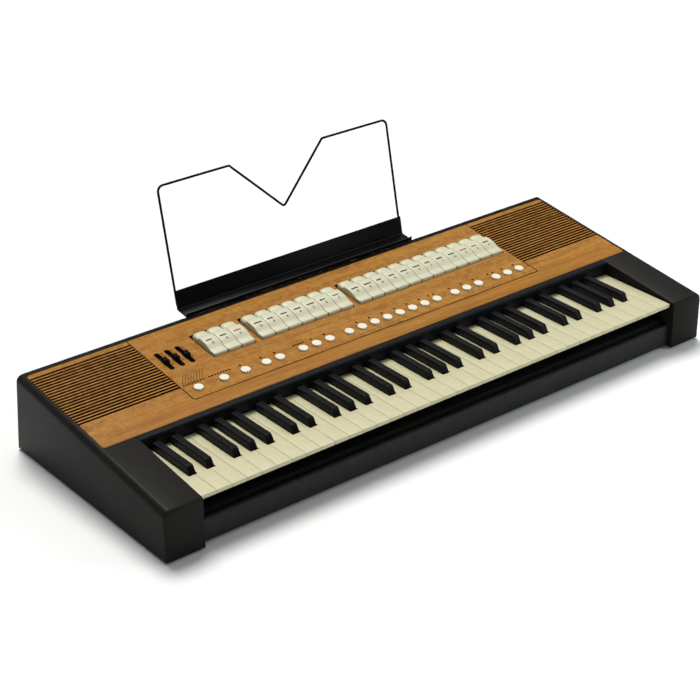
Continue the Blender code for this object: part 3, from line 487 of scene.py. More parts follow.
@dataclass(frozen=True)
class Fibrous(Finish):
    """Felt, pressed paper or woven cloth: matt, with crossing threads."""

    colour: Colour = (0.006, 0.006, 0.0065)
    lint: Colour = (0.02, 0.02, 0.021)
    threads: float = 1400.0

    def dress(self, graph: Graph, shader: bpy.types.Node, vector: Socket) -> None:
        """Fill the material's nodes.

        Args:
            graph: The material's graph.
            shader: Its Principled node.
            vector: Object coordinates.
        """
        ways = ((self.threads, self.threads / 9), (self.threads / 9, self.threads))
        nap = graph.math("MAXIMUM", *(graph.noise(graph.stretched(vector, *way), 1.0) for way in ways))
        colour = graph.mix(graph.ramp(nap, 0.45, 0.72), self.colour, self.lint)
        graph.cover(shader, colour, graph.ramp(nap, 0.4, 0.8, 0.85, 1.0), nap, 0.5, 0.0004)
        set_values(shader, Specular_IOR_Level=0.2)


CHEEK_SATIN = Moulded("cheek_satin", Slot.BLACK_SATIN, colour=(0.0148, 0.0139, 0.0124),
                      edge_colour_scuffed_and_lit=(0.030, 0.030, 0.031), roughness=0.38, spread=0.006, scale=1100.0, depth=0.03,
                      tone=0.03, edge_scuff_and_highlight=0.10, dust=0.001, specular=0.05)
# The nosing's bluish lighter edge colour is a painted highlight along its rounded nose.
NOSING_SATIN = Moulded("nosing_satin", Slot.BLACK_SATIN, colour=(0.0082, 0.0084, 0.0098),
                       edge_colour_scuffed_and_lit=(0.020, 0.022, 0.028), roughness=0.32, spread=0.006, scale=1300.0, depth=0.03,
                       tone=0.03, edge_scuff_and_highlight=0.15, dust=0.001, specular=0.06)
COATED_STEEL = Steel("coated_steel", colour=(0.0125, 0.0125, 0.0128), edge_colour_scuffed_and_lit=(0.045, 0.045, 0.045),
                     roughness=0.40, spread=0.015, depth=0.06, specular=0.08)
# The rail's lighter edge colour, kept nearly unbroken, is a painted highlight along its rounded edges.
RAIL_STEEL = Steel("rail_steel", colour=(0.0205, 0.0205, 0.0208), edge_colour_scuffed_and_lit=(0.055, 0.055, 0.055),
                   roughness=0.42, spread=0.004, depth=0.03, tone=0.02, edge_scuff_and_highlight=0.35, even=0.6, dust=0.001,
                   specular=0.06)
SHELL_STEEL = Steel("shell_steel", colour=(0.0088, 0.0078, 0.0062), edge_colour_scuffed_and_lit=(0.030, 0.028, 0.025),
                    roughness=0.50, spread=0.010, depth=0.05, specular=0.03)
REST_STEEL = Steel("rest_steel", colour=(0.0052, 0.0053, 0.0056), edge_colour_scuffed_and_lit=(0.020, 0.020, 0.020),
                   roughness=0.30, tone=0.03, edge_scuff_and_highlight=0.0, dust=0.001, specular=0.04)
# Lighter grey for the tray's rear fold and lip edge: a painted highlight line.
FOLD_HIGHLIGHT_STEEL = Steel("fold_painted_highlight", colour=(0.034, 0.034, 0.034), edge_colour_scuffed_and_lit=(0.050, 0.050, 0.050), roughness=0.36,
                   tone=0.10, edge_scuff_and_highlight=0.0, dust=0.0, specular=0.10)
# Near-black and dull, darker than the other coated steel: the keybed's and chassis's black coating together
# with painted shade for the cavity under the keys and the gaps round the controls.
DARK_STEEL = Steel("chassis_steel", colour=(0.0046, 0.0046, 0.0048), edge_colour_scuffed_and_lit=(0.012, 0.012, 0.012),
                   roughness=0.66, spread=0.04, scale=1400.0, depth=0.10, tone=0.08, edge_scuff_and_highlight=0.20, dust=0.004,
                   specular=0.05)
OAK_FACE = Wood("oak_face", Slot.OAK)
# Near-black oak for grooves, joint line, openings and holes: dark stain together with painted shade in these
# recesses.
OAK_STAIN_AND_SHADE = Wood("oak_stain_and_painted_shade", Slot.OAK, light=(0.030, 0.014, 0.004), dark=(0.016, 0.007, 0.002),
                   pore=(0.008, 0.004, 0.0015), blush=(0.026, 0.011, 0.003), roughness=0.7, figure=2.0)
IVORY = Moulded("ivory_plastic", Slot.IVORY, colour=(0.590, 0.552, 0.340), edge_colour_scuffed_and_lit=(0.74, 0.69, 0.48),
                roughness=0.32, spread=0.04, scale=500.0, depth=0.015, tone=0.04, edge_scuff_and_highlight=0.20, dust=0.02,
                coat=0.08, glow=0.04)
# The sharps' bluish lighter edges, kept nearly unbroken, are a painted edge highlight.
EBONY = Moulded("ebony_plastic", Slot.EBONY, colour=(0.0036, 0.0035, 0.0038), edge_colour_scuffed_and_lit=(0.042, 0.046, 0.056),
                roughness=0.32, spread=0.008, depth=0.012, tone=0.03, edge_scuff_and_highlight=0.90, even=0.85, dust=0.0,
                specular=0.06)
FADER_BLACK = Moulded("fader_black", Slot.EBONY, colour=(0.0028, 0.0028, 0.0034),
                      edge_colour_scuffed_and_lit=(0.012, 0.012, 0.016), roughness=0.50, spread=0.02, depth=0.03, tone=0.04,
                      dust=0.0, specular=0.03)
TAB_PLASTIC = Moulded("tab_plastic", Slot.TAB_WHITE, colour=(0.630, 0.615, 0.430), edge_colour_scuffed_and_lit=(0.80, 0.78, 0.62),
                      roughness=0.40, spread=0.04, scale=600.0, depth=0.02, tone=0.05, edge_scuff_and_highlight=0.45, dust=0.02,
                      glow=0.06)
BUTTON_PLASTIC = Moulded("button_plastic", Slot.BUTTON_WHITE, colour=(0.82, 0.77, 0.62),
                         edge_colour_scuffed_and_lit=(0.88, 0.85, 0.74), roughness=0.34, spread=0.04, scale=600.0, depth=0.02,
                         tone=0.04, edge_scuff_and_highlight=0.25, dust=0.02, glow=0.05)
ZINC = Plated("zinc_plate")
CONE = Fibrous("cone_paper", Slot.CONE_PAPER, colour=(0.028, 0.027, 0.026), lint=(0.06, 0.058, 0.055),
               threads=900.0)
FELT = Fibrous("black_felt")
RUBBER = Moulded("foot_rubber", colour=(0.010, 0.010, 0.010), edge_colour_scuffed_and_lit=(0.03, 0.03, 0.03), roughness=0.72,
                 scale=1300.0, depth=0.25, edge_scuff_and_highlight=0.3, dust=0.0)
LAMP_LENS = Moulded("lamp_lens", colour=(0.026, 0.0035, 0.0025), edge_colour_scuffed_and_lit=(0.12, 0.015, 0.015), roughness=0.30,
                    scale=1500.0, depth=0.01, tone=0.3, edge_scuff_and_highlight=0.0, dust=0.0, specular=0.15)
LAMP_RIM = Moulded("lamp_rim", colour=(0.0060, 0.0032, 0.0022), edge_colour_scuffed_and_lit=(0.02, 0.02, 0.02), roughness=0.55,
                   scale=1500.0, depth=0.01, edge_scuff_and_highlight=0.0, dust=0.0, specular=0.05)
PANEL_INK = Ink("panel_ink", colour=(0.040, 0.018, 0.006), edge_colour_scuffed_and_lit=(0.16, 0.09, 0.04), tone=0.5, specular=0.1)
TAB_INK = Ink("tab_ink", colour=(0.070, 0.084, 0.080), edge_colour_scuffed_and_lit=(0.20, 0.22, 0.22), tone=0.4, specular=0.1)
RED_INK = Ink("red_ink", colour=(0.34, 0.09, 0.09), edge_colour_scuffed_and_lit=(0.55, 0.2, 0.2), tone=0.3)
GREY_INK = Ink("grey_ink", colour=(0.45, 0.45, 0.44), edge_colour_scuffed_and_lit=(0.5, 0.5, 0.5))
FADED_INK = Ink("faded_ink", colour=(0.030, 0.030, 0.052), edge_colour_scuffed_and_lit=(0.5, 0.5, 0.5), specular=0.05)


def rounded(points: Sequence[Point], radii: Sequence[float], steps: int = 6) -> list[Point]:
    """An outline with its corners turned into arcs.

    Args:
        points: The outline's corners.
        radii: The radius at each corner; 0 keeps it sharp.
        steps: Steps in each arc.

    Returns:
        The new outline.
    """
    made: list[Point] = []
    count = len(points)
    for index, point in enumerate(points):
        corner, radius = Vector(point), radii[index]
        if radius == 0.0:
            made.append(tuple(corner))
            continue
        before = (Vector(points[index - 1]) - corner).normalized()
        after = (Vector(points[(index + 1) % count]) - corner).normalized()
        half = before.angle(after) / 2
        centre = corner + (before + after).normalized() * (radius / math.sin(half))
        start = (corner + before * (radius / math.tan(half)) - centre).normalized()
        end = (corner + after * (radius / math.tan(half)) - centre).normalized()
        made += [tuple(centre + start.slerp(end, step / steps) * radius) for step in range(steps + 1)]
    return made


def rectangle(low_x: float, low_y: float, high_x: float, high_y: float) -> list[Point]:
    """The corners of a rectangle, anticlockwise from the lower left one."""
    return [(low_x, low_y), (high_x, low_y), (high_x, high_y), (low_x, high_y)]


def loft(rings: Sequence[Sequence[Point]]) -> bmesh.types.BMesh:
    """A closed skin over rings of points, with flat ends.

    Args:
        rings: Rings that all have the same number of points.

    Returns:
        The mesh.
    """
    bm = bmesh.new()
    rows = [[bm.verts.new(point) for point in ring] for ring in rings]
    count = len(rows[0])
    for near, far in zip(rows, rows[1:]):
        for index in range(count):
            after = (index + 1) % count
            bm.faces.new((near[index], near[after], far[after], far[index]))
    bm.faces.new(rows[0][::-1])
    bm.faces.new(rows[-1])
    bmesh.ops.recalc_face_normals(bm, faces=bm.faces)
    return bm


def prism(outline: Sequence[Point], low: float, high: float) -> bmesh.types.BMesh:
    """A flat outline in XY made solid between two heights."""
    return loft([[(x, y, low) for x, y in outline], [(x, y, high) for x, y in outline]])


def block(start: Point, end: Point) -> bmesh.types.BMesh:
    """A box between two corners."""
    return prism(rectangle(*start[:2], *end[:2]), start[2], end[2])


def turned(profile: Sequence[Point], segments: int) -> bmesh.types.BMesh:
    """A profile of (radius, height) pairs turned about Z; it starts and ends on the axis or closes.

    Args:
        profile: The pairs, from one end of the axis to the other.
        segments: Number of faces round the axis.

    Returns:
        The mesh.
    """
    bm = bmesh.new()
    rows = []
    for radius, height in profile:
        if radius == 0.0:
            rows.append([bm.verts.new((0.0, 0.0, height))])
            continue
        rows.append([bm.verts.new((radius * math.cos(angle), radius * math.sin(angle), height))
                     for angle in (2 * math.pi * index / segments for index in range(segments))])
    if profile[0][0] != 0.0:
        rows.append(rows[0])
    for near, far in zip(rows, rows[1:]):
        for index in range(segments):
            after = (index + 1) % segments
            corners = [near[index % len(near)], near[after % len(near)], far[after % len(far)],
                       far[index % len(far)]]
            bm.faces.new(list(dict.fromkeys(corners)))
    bmesh.ops.recalc_face_normals(bm, faces=bm.faces)
    return bm


def rod(radius: float, low: float, high: float, segments: int) -> bmesh.types.BMesh:
    """A round bar along Z, to cut a bore with."""
    return turned([(0.0, high), (radius, high), (radius, low), (0.0, low)], segments)


def level(height: float) -> Callable[[Vector, Vector], bool]:
    """Chooses the edges that lie at a height."""
    return lambda a, b: abs(a.z - height) < TOUCHING and abs(b.z - height) < TOUCHING


def soften(bm: bmesh.types.BMesh, width: float, segments: int = 2,
           chosen: Callable[[Vector, Vector], bool] | None = None, angle: float = 30.0) -> bmesh.types.BMesh:
    """Round edges of a mesh.

    Args:
        bm: The mesh.
        width: Width of the rounding.
        segments: Steps across it.
        chosen: Says from its two ends whether an edge is rounded; None takes every sharp edge.
        angle: What counts as sharp, in degrees.

    Returns:
        The same mesh.
    """
    limit = math.radians(angle)
    edges = [edge for edge in bm.edges if edge.is_manifold and edge.calc_face_angle(0.0) > limit
             and (chosen is None or chosen(edge.verts[0].co, edge.verts[1].co))]
    bmesh.ops.bevel(bm, geom=edges, offset=width, segments=segments, profile=0.5, affect="EDGES",
                    clamp_overlap=True)
    return bm


def sheet(path: Sequence[Point], thickness: float, half_width: float) -> bmesh.types.BMesh:
    """A sheet folded along a path in YZ; the metal lies to the left of the path, seen from +X.

    Args:
        path: The fold line's (y, z) points.
        thickness: Thickness of the sheet.
        half_width: Its reach to each side along X.

    Returns:
        The mesh.
    """
    outer = [Vector(point) for point in path]
    steps = [(far - near).normalized() for near, far in zip(outer, outer[1:])]
    inner = []
    for index, point in enumerate(outer):
        normals = [Vector((-step.y, step.x)) for step in steps[max(index - 1, 0):index + 1]]
        mean = sum(normals, Vector((0.0, 0.0))).normalized()
        inner.append(point + mean * (thickness / max(mean.dot(normals[0]), 0.3)))
    outline = outer + inner[::-1]
    return loft([[(x, place.x, place.y) for place in outline] for x in (-half_width, half_width)])


def joined(parts: Iterable[bmesh.types.BMesh]) -> bmesh.types.BMesh:
    """One mesh of several.

    Args:
        parts: The meshes, which are freed.

    Returns:
        The whole.
    """
    whole = bmesh.new()
    for part in parts:
        mesh = bpy.data.meshes.new("part")
        part.to_mesh(mesh)
        part.free()
        whole.from_mesh(mesh)
        bpy.data.meshes.remove(mesh)
    return whole


def moved(bm: bmesh.types.BMesh, matrix: Matrix) -> bmesh.types.BMesh:
    """The mesh with its points transformed."""
    bmesh.ops.transform(bm, matrix=matrix, verts=bm.verts)
    return bm


def shift(x: float, y: float, z: float) -> Matrix:
    """A move."""
    return Matrix.Translation((x, y, z))


def new_object(name: str, data: bpy.types.ID) -> bpy.types.Object:
    """An object of the data, linked to the scene.

    Args:
        name: The object's name.
        data: Its mesh, curve, light or camera.

    Returns:
        The object.
    """
    made = bpy.data.objects.new(name, data)
    bpy.context.scene.collection.objects.link(made)
    return made


def bare_object(bm: bmesh.types.BMesh, name: str, matrix: Matrix = IDENTITY) -> bpy.types.Object:
    """An object that holds a mesh.

    Args:
        bm: The mesh, which is freed.
        name: The object's name.
        matrix: Where it is.

    Returns:
        The object, linked to the scene.
    """
    mesh = bpy.data.meshes.new(name)
    bm.to_mesh(mesh)
    bm.free()
    made = new_object(name, mesh)
    made.matrix_world = matrix
    return made


def evaluated_mesh(obj: bpy.types.Object) -> bpy.types.Mesh:
    """The mesh that the object's modifiers make."""
    bpy.context.view_layer.update()
    return bpy.data.meshes.new_from_object(obj.evaluated_get(bpy.context.evaluated_depsgraph_get()))


def carved(solid: bmesh.types.BMesh, *cutters: bmesh.types.BMesh) -> bmesh.types.BMesh:
    """The solid less each cutter.

    Args:
        solid: The mesh to cut, which is freed.
        *cutters: Meshes to take away, which are freed.

    Returns:
        The mesh that is left.
    """
    body = bare_object(solid, "carving")
    for cutter in cutters:
        tool = bare_object(cutter, "cutter")
        change = body.modifiers.new("Carve", "BOOLEAN")
        change.operation = "DIFFERENCE"
        change.solver = "EXACT"
        change.object = tool
        body.data = evaluated_mesh(body)
        body.modifiers.clear()
        bpy.data.objects.remove(tool)
    left = bmesh.new()
    left.from_mesh(body.data)
    bpy.data.objects.remove(body)
    return left


def tube(points: Sequence[Point], radius: float, segments: int) -> bmesh.types.BMesh:
    """A round wire along a flat line of points in XY.

    Args:
        points: The wire's centreline.
        radius: Its radius.
        segments: Faces round it.

    Returns:
        The mesh, with flat ends.
    """
    line = [Vector((*point, 0.0)) for point in points]
    rings = []
    for index, place in enumerate(line):
        ahead = line[min(index + 1, len(line) - 1)] - place
        behind = place - line[max(index - 1, 0)]
        ahead = ahead.normalized() if ahead.length else behind.normalized()
        behind = behind.normalized() if behind.length else ahead
        along = (ahead + behind).normalized()
        side = Vector((along.y, -along.x, 0.0))
        stretch = 1.0 / max(along.dot(ahead), 0.5)
        rings.append([tuple(place + side * (math.cos(turn) * radius * stretch)
                            + Vector((0, 0, math.sin(turn) * radius)))
                      for turn in (2 * math.pi * step / segments for step in range(segments))])
    return loft(rings)


def spaced(first: float, last: float, count: int) -> list[float]:
    """Evenly spaced places from the first to the last."""
    pitch = (last - first) / (count - 1)
    return [first + pitch * index for index in range(count)]


def row(first: float, count: int) -> list[float]:
    """The places along X of one group's tabs or buttons."""
    return [first + CONTROL_PITCH * index for index in range(count)]


def place(bm: bmesh.types.BMesh, name: str, body: str, finish: Finish, matrix: Matrix = IDENTITY,
          stands_for: Sequence[str] = (), angle: float = 38.0) -> bpy.types.Object:
    """Make a piece of the object from a mesh and dress it.

    Args:
        bm: The mesh, in the matrix's frame.
        name: The piece's name.
        body: The body that it rides on.
        finish: What it is made of.
        matrix: Where it is.
        stands_for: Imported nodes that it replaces.
        angle: Edges sharper than this stay sharp, in degrees.

    Returns:
        The piece.
    """
    piece = bare_object(bm, name, matrix)
    piece.data.materials.append(finish.material())
    piece.data.shade_smooth()
    piece.data.set_sharp_from_angle(angle=math.radians(angle))
    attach(piece, body)
    if stands_for:
        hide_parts(*stands_for)
    LOG.info("%s: %d faces on %s", name, len(piece.data.polygons), body)
    return piece


def second_finish(piece: bpy.types.Object, finish: Finish,
                  chosen: Callable[[bpy.types.MeshPolygon], bool]) -> None:
    """Give some faces of a piece another finish.

    Args:
        piece: The piece.
        finish: The other finish.
        chosen: Says whether a face gets it.
    """
    piece.data.materials.append(finish.material())
    for face in piece.data.polygons:
        if chosen(face):
            face.material_index = 1


def dress_node(frame: dict, node: str, finish: Finish, edge: float = 0.0004) -> None:
    """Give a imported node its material, welded and rounded edges and smooth shading.

    Args:
        node: The node's name.
        finish: What it is made of.
        edge: Width of the edge rounding.
    """
    obj = frame["nodes"][node]
    obj.data.materials.clear()
    obj.data.materials.append(finish.material())
    weld = obj.modifiers.new("Weld", "WELD")
    weld.merge_threshold = TOUCHING
    bevel = obj.modifiers.new("Edges", "BEVEL")
    bevel.width = edge
    bevel.segments = 2
    bevel.limit_method = "ANGLE"
    bevel.angle_limit = math.radians(35)
    bevel.harden_normals = True
    obj.data.shade_smooth()
    LOG.info("%s: packed solid kept", node)


def numeral(text: str, height: float) -> bmesh.types.BMesh:
    """A printed number, centred in XY and lying on z = 0.

    Args:
        text: The characters.
        height: Height of a figure.

    Returns:
        The mesh.
    """
    curve = bpy.data.curves.new("numeral", "FONT")
    curve.body = text
    curve.size = height / 0.70
    curve.align_x = "CENTER"
    curve.align_y = "CENTER"
    curve.extrude = INK_THICKNESS / 2
    curve.offset = height * 0.02
    curve.resolution_u = 3
    holder = new_object("numeral", curve)
    mesh = evaluated_mesh(holder)
    bpy.data.objects.remove(holder)
    bm = bmesh.new()
    bm.from_mesh(mesh)
    bpy.data.meshes.remove(mesh)
    bmesh.ops.remove_doubles(bm, verts=bm.verts, dist=1e-7)
    return moved(bm, shift(0, 0, INK_THICKNESS / 2))


@dataclass
class Case:
    """Cheeks, nosing, rail, shell and feet."""

    half_width: float = 0.485
    front_y: float = -0.207
    bottom_z: float = 0.003
    uncut_z: float = 0.16
    block_inner_x: float = 0.426
    wall_inner_x: float = 0.4748
    wood_front_s: float = -0.0005
    wood_thickness: float = 0.005
    top_radius: float = 0.0098
    front_radius: float = 0.0034
    rear_radius: float = 0.0018
    inner_radius: float = 0.0006
    rail_face_y: float = -0.198
    rail_z: tuple[float, float] = (0.0035, 0.0375)
    rail_flange: float = 0.006
    rail_radius: float = 0.0022
    rail_thickness: float = 0.0015
    ledge_s: float = 0.012
    nose_s: float = -0.0115
    step_radius: float = 0.0006
    nose_radius: float = 0.0028
    nose_bottom_z: float = 0.0753
    nose_thickness: float = 0.002
    feet: tuple[Point, ...] = ((-0.40, -0.168), (0.40, -0.168), (-0.40, 0.127), (0.40, 0.127))
    felt: tuple[Point, Point] = ((-0.418, -0.1728, 0.0503), (0.418, -0.1612, 0.0520))

    def cheek(self, side: int) -> bmesh.types.BMesh:
        """An end piece cut to the slope, with its long top edge and its front and rear rims rounded.

        Args:
            side: -1 for the left, 1 for the right.

        Returns:
            The mesh.
        """
        up, back = (PANEL.to_3x3() @ Vector(way) for way in ((0, 0, 1), (0, 1, 0)))
        rear_top = PANEL @ Vector((0, CASE_REAR_S, 0))
        rear_y = rear_top.y + (rear_top.z - self.bottom_z) * math.tan(PANEL_SLOPE)
        block_y = (PANEL @ Vector((0, self.wood_front_s - CLEARANCE, 0))).y
        outline = [(self.half_width, self.front_y), (self.half_width, rear_y), (self.wall_inner_x, rear_y),
                   (self.wall_inner_x, block_y), (self.block_inner_x, block_y),
                   (self.block_inner_x, self.front_y)]
        bm = prism(outline, self.bottom_z, self.uncut_z)
        for point, normal in ((PANEL_ORIGIN, up), (rear_top, back)):
            geometry = bm.verts[:] + bm.edges[:] + bm.faces[:]
            bmesh.ops.bisect_plane(bm, geom=geometry, dist=1e-7, plane_co=point, plane_no=normal,
                                   clear_outer=True)
            bmesh.ops.holes_fill(bm, edges=[edge for edge in bm.edges if edge.is_boundary], sides=0)
        bmesh.ops.recalc_face_normals(bm, faces=bm.faces)

        def along(*planes: tuple[Point, Point]) -> Callable[[Vector, Vector], bool]:
            """Chooses the edges that lie in every plane, each given by a point and a normal."""
            return lambda a, b: all(abs((end - Vector(point)).dot(Vector(normal))) < TOUCHING
                                    for point, normal in planes for end in (a, b))

        def rim(point: Point, normal: Point) -> Callable[[Vector, Vector], bool]:
            """Chooses the edges of an end face, apart from its bottom one and its inner one."""
            return lambda a, b: (along((point, normal))(a, b) and max(a.z, b.z) >= self.bottom_z + TOUCHING
                                 and (abs(a.x - b.x) >= TOUCHING or a.x >= self.wall_inner_x + TOUCHING))

        outer, inner = (((x, 0, 0), (1, 0, 0)) for x in (self.half_width, self.block_inner_x))
        soften(bm, self.top_radius, 10, along((PANEL_ORIGIN, up), outer), 20)
        soften(bm, self.front_radius, 5, rim((0, self.front_y, 0), (0, 1, 0)), 20)
        soften(bm, self.rear_radius, 4, rim(rear_top, back), 20)
        soften(bm, self.inner_radius, 2, along(inner), 40)
        if side < 0:
            moved(bm, Matrix.Diagonal((-1, 1, 1, 1)))
            bmesh.ops.reverse_faces(bm, faces=bm.faces)
        return bm

    def nosing(self) -> bmesh.types.BMesh:
        """The black strip in front of the wood with its rounded nose and wall down to the keys.

        Returns:
            The mesh.
        """
        step_s, ledge_h = self.wood_front_s - CLEARANCE, -self.wood_thickness - CLEARANCE
        spots = ((self.ledge_s, ledge_h), (step_s, ledge_h), (step_s, 0.0), (self.nose_s, 0.0))
        path = [tuple((PANEL @ Vector((0, s, h))).yz) for s, h in spots]
        path.append((path[-1][0], self.nose_bottom_z))
        folds = rounded(path, (0.0, 0.0, self.step_radius, self.nose_radius, 0.0), 8)
        return sheet(folds, self.nose_thickness, self.block_inner_x - CLEARANCE)

    def rail(self) -> bmesh.types.BMesh:
        """The rail under the key fronts with its two narrow flanges.

        Returns:
            The mesh.
        """
        low, high = self.rail_z
        back = self.rail_face_y + self.rail_flange
        path = [(back, low), (self.rail_face_y, low), (self.rail_face_y, high), (back, high)]
        folds = rounded(path, (0.0, self.rail_radius, self.rail_radius, 0.0), 7)
        return sheet(folds[::-1], self.rail_thickness, self.block_inner_x - CLEARANCE)

    def foot(self) -> bmesh.types.BMesh:
        """A soft ring pressed over a boss of the bottom, with a rounded rim."""
        return turned([(0.0112, 0.0004), (0.0118, 0.0001), (0.0136, 0.0001), (0.0144, 0.0006),
                       (0.0146, 0.0016), (0.0140, 0.0027), (0.0112, 0.0028)], 40)

    def build(self, frame: dict) -> None:
        """Make and dress the case's pieces.
        """
        for side, name in ((-1, "left_cheek"), (1, "right_cheek")):
            place(self.cheek(side), f"{name}_moulding", "case", CHEEK_SATIN, stands_for=(name,))
        place(self.nosing(), "key_nosing", "case", NOSING_SATIN, stands_for=("fallboard",))
        place(self.rail(), "rail_face", "case", RAIL_STEEL, stands_for=("front_rail",))
        dress_node(frame, "case_shell", SHELL_STEEL)
        dress_node(frame, "keybed", DARK_STEEL)
        dress_node(frame, "control_chassis", DARK_STEEL, 0.0002)
        for index, (x, y) in enumerate(self.feet, start=1):
            place(self.foot(), f"foot_ring_{index}", "case", RUBBER, shift(x, y, 0.0))
        place(soften(block(*self.felt), 0.0005), "stop_rail_felt", "case", FELT)


@dataclass
class WoodTop:
    """The oak top with grilles, joint line, openings, printed marks and lamps."""

    half_width: float = 0.4745
    front_s: float = -0.0005
    rear_s: float = 0.1937
    thickness: float = 0.005
    corner: float = 0.004
    edge: float = 0.0009
    grooves: int = 21
    groove_first_s: float = 0.0607
    groove_pitch: float = 0.00609
    groove_width: float = 0.0038
    groove_depth: float = 0.003
    joint_x: float = 0.3155
    joint_front_s: float = 0.0265
    joint_width: float = 0.0016
    joint_depth: float = 0.0012
    over: float = 0.002
    recess_half: float = 0.048
    recess_h: float = -0.0022
    cloth_half: float = 0.0475
    cloth_h: tuple[float, float] = (-0.0028, -0.0024)
    opening_s: tuple[float, float] = (0.0956, 0.1585)
    opening_margin: float = 0.0018
    opening_radius: float = 0.0012
    hole_radius: float = 0.0076
    slot_centre_s: float = 0.1241
    slot_length: float = 0.0458
    slot_width: float = 0.0082
    strip_x: tuple[float, float] = (0.0009, 0.0042)
    strip_s: tuple[float, float] = (0.0995, 0.1485)
    strip_h: tuple[float, float] = (-0.0062, -0.0053)
    lamp_s: float = 0.0610
    lamp_radius: float = 0.0016
    row_lamp_s: float = 0.0607
    row_lamp_radius: float = 0.0014
    single_lamps: tuple[float, ...] = (
        -0.2166, -0.1813, -0.1578, -0.0937, -0.0701, -0.0113, 0.0122, 0.0358, 0.0593, 0.0829, 0.1064, 0.1248,
        0.1346, 0.1651, 0.1886, 0.2122, 0.2429, 0.2529, 0.2711, 0.2947)
    lamp_rows: tuple[tuple[float, float, int, float], ...] = (
        (-0.3092, -0.2774, 8, 0.0190), (-0.2673, -0.2347, 8, 0.0), (-0.1249, -0.1080, 5, 0.0060))
    tick_s: float = 0.0640
    tick_half: float = 0.00045
    tick_lean: float = 0.695
    number_height: float = 0.0021
    number_offset: float = 0.0125
    fader_tick_x: float = 0.0050
    fader_tick_half: float = 0.0008
    fader_tick_lengths: tuple[float, float] = (0.0028, 0.0038)
    fader_ticks_s: tuple[float, float, int] = (0.1141, 0.1429, 9)

    def board(self) -> bmesh.types.BMesh:
        """The board with everything milled into it.

        Returns:
            The mesh.
        """
        half = self.half_width
        outline = rounded(rectangle(-half, self.front_s, half, self.rear_s), [self.corner] * 4, 8)
        board = soften(prism(outline, -self.thickness, 0.0), self.edge, 3, level(0.0))
        grooves = []
        for side in (-1, 1):
            inner, outer = sorted((side * self.joint_x, side * (half + self.over)))
            for index in range(self.grooves):
                middle = self.groove_first_s + self.groove_pitch * index
                grooves.append(block((inner, middle - self.groove_width / 2, -self.groove_depth),
                                     (outer, middle + self.groove_width / 2, self.over)))
        recesses = [self.under_grille(side, self.recess_half, -THROUGH, self.recess_h) for side in (-1, 1)]
        openings = []
        for start, count in TAB_GROUPS:
            end = start + count * CONTROL_PITCH - TAB_GAP
            sides = rectangle(start - self.opening_margin, self.opening_s[0], end + self.opening_margin,
                              self.opening_s[1])
            openings.append(prism(rounded(sides, [self.opening_radius] * 4, 4), -THROUGH, THROUGH))
        holes = [moved(rod(self.hole_radius, -THROUGH, THROUGH, 36), shift(x, BUTTON_S, 0.0))
                 for group in BUTTON_GROUPS for x in row(*group)]
        slots = [prism(self.slot_outline(x), -THROUGH, THROUGH) for x in FADER_X]
        return carved(board, joined(grooves), self.joint_line(), joined(recesses), joined(openings),
                      joined(holes), joined(slots))

    def under_grille(self, side: int, half: float, low: float, high: float) -> bmesh.types.BMesh:
        """A square block under one grille.

        Args:
            side: -1 for the left, 1 for the right.
            half: Half its width.
            low: Height of its lower face.
            high: Height of its upper face.

        Returns:
            The mesh.
        """
        return block((side * SPEAKER_X - half, SPEAKER_S - half, low),
                     (side * SPEAKER_X + half, SPEAKER_S + half, high))

    def slot_outline(self, x: float) -> list[Point]:
        """Plan of a fader slot with round ends.

        Args:
            x: Its middle.

        Returns:
            The outline.
        """
        reach, radius, middle = self.slot_length / 2, self.slot_width / 2, self.slot_centre_s
        sides = rectangle(x - radius, middle - reach, x + radius, middle + reach)
        return rounded(sides, [radius * 0.98] * 4, 8)

    def joint_line(self) -> bmesh.types.BMesh:
        """Cutter of the fine line round the control area.

        Returns:
            The mesh.
        """
        line: list[Point] = []
        end_s = self.rear_s + 0.003
        for offset in (self.joint_width / 2, -self.joint_width / 2):
            radius = self.corner + offset
            x, front_s = self.joint_x + offset, self.joint_front_s - offset
            corners = [(-x, end_s), (-x, front_s), (x, front_s), (x, end_s)]
            side = rounded(corners, (0.0, radius, radius, 0.0), 6)
            line += side if offset > 0 else side[::-1]
        return prism(line, -self.joint_depth, self.over)

    def lamps(self) -> list[Point]:
        """Where the indicator lamps are.

        Returns:
            The centre and radius (x, s, radius) of each.
        """
        spots = [(x, self.lamp_s, self.lamp_radius) for x in self.single_lamps]
        return spots + [(x, self.row_lamp_s, self.row_lamp_radius)
                        for first, last, count, _ in self.lamp_rows for x in spaced(first, last, count)]

    def lens(self, radius: float) -> list[Point]:
        """Profile of a lens let into the wood with a low dome."""
        return [(0.0, 0.00105), (radius * 0.5, 0.00090), (radius * 0.85, 0.00050), (radius, 0.00010),
                (radius, -0.0004), (0.0, -0.0004)]

    def rim(self, radius: float) -> list[Point]:
        """Profile of the dark rim round a lens."""
        return [(radius + 0.00002, 0.00012), (radius + 0.0003, 0.00010), (radius + 0.0003, -0.0002),
                (radius + 0.00002, -0.0002)]

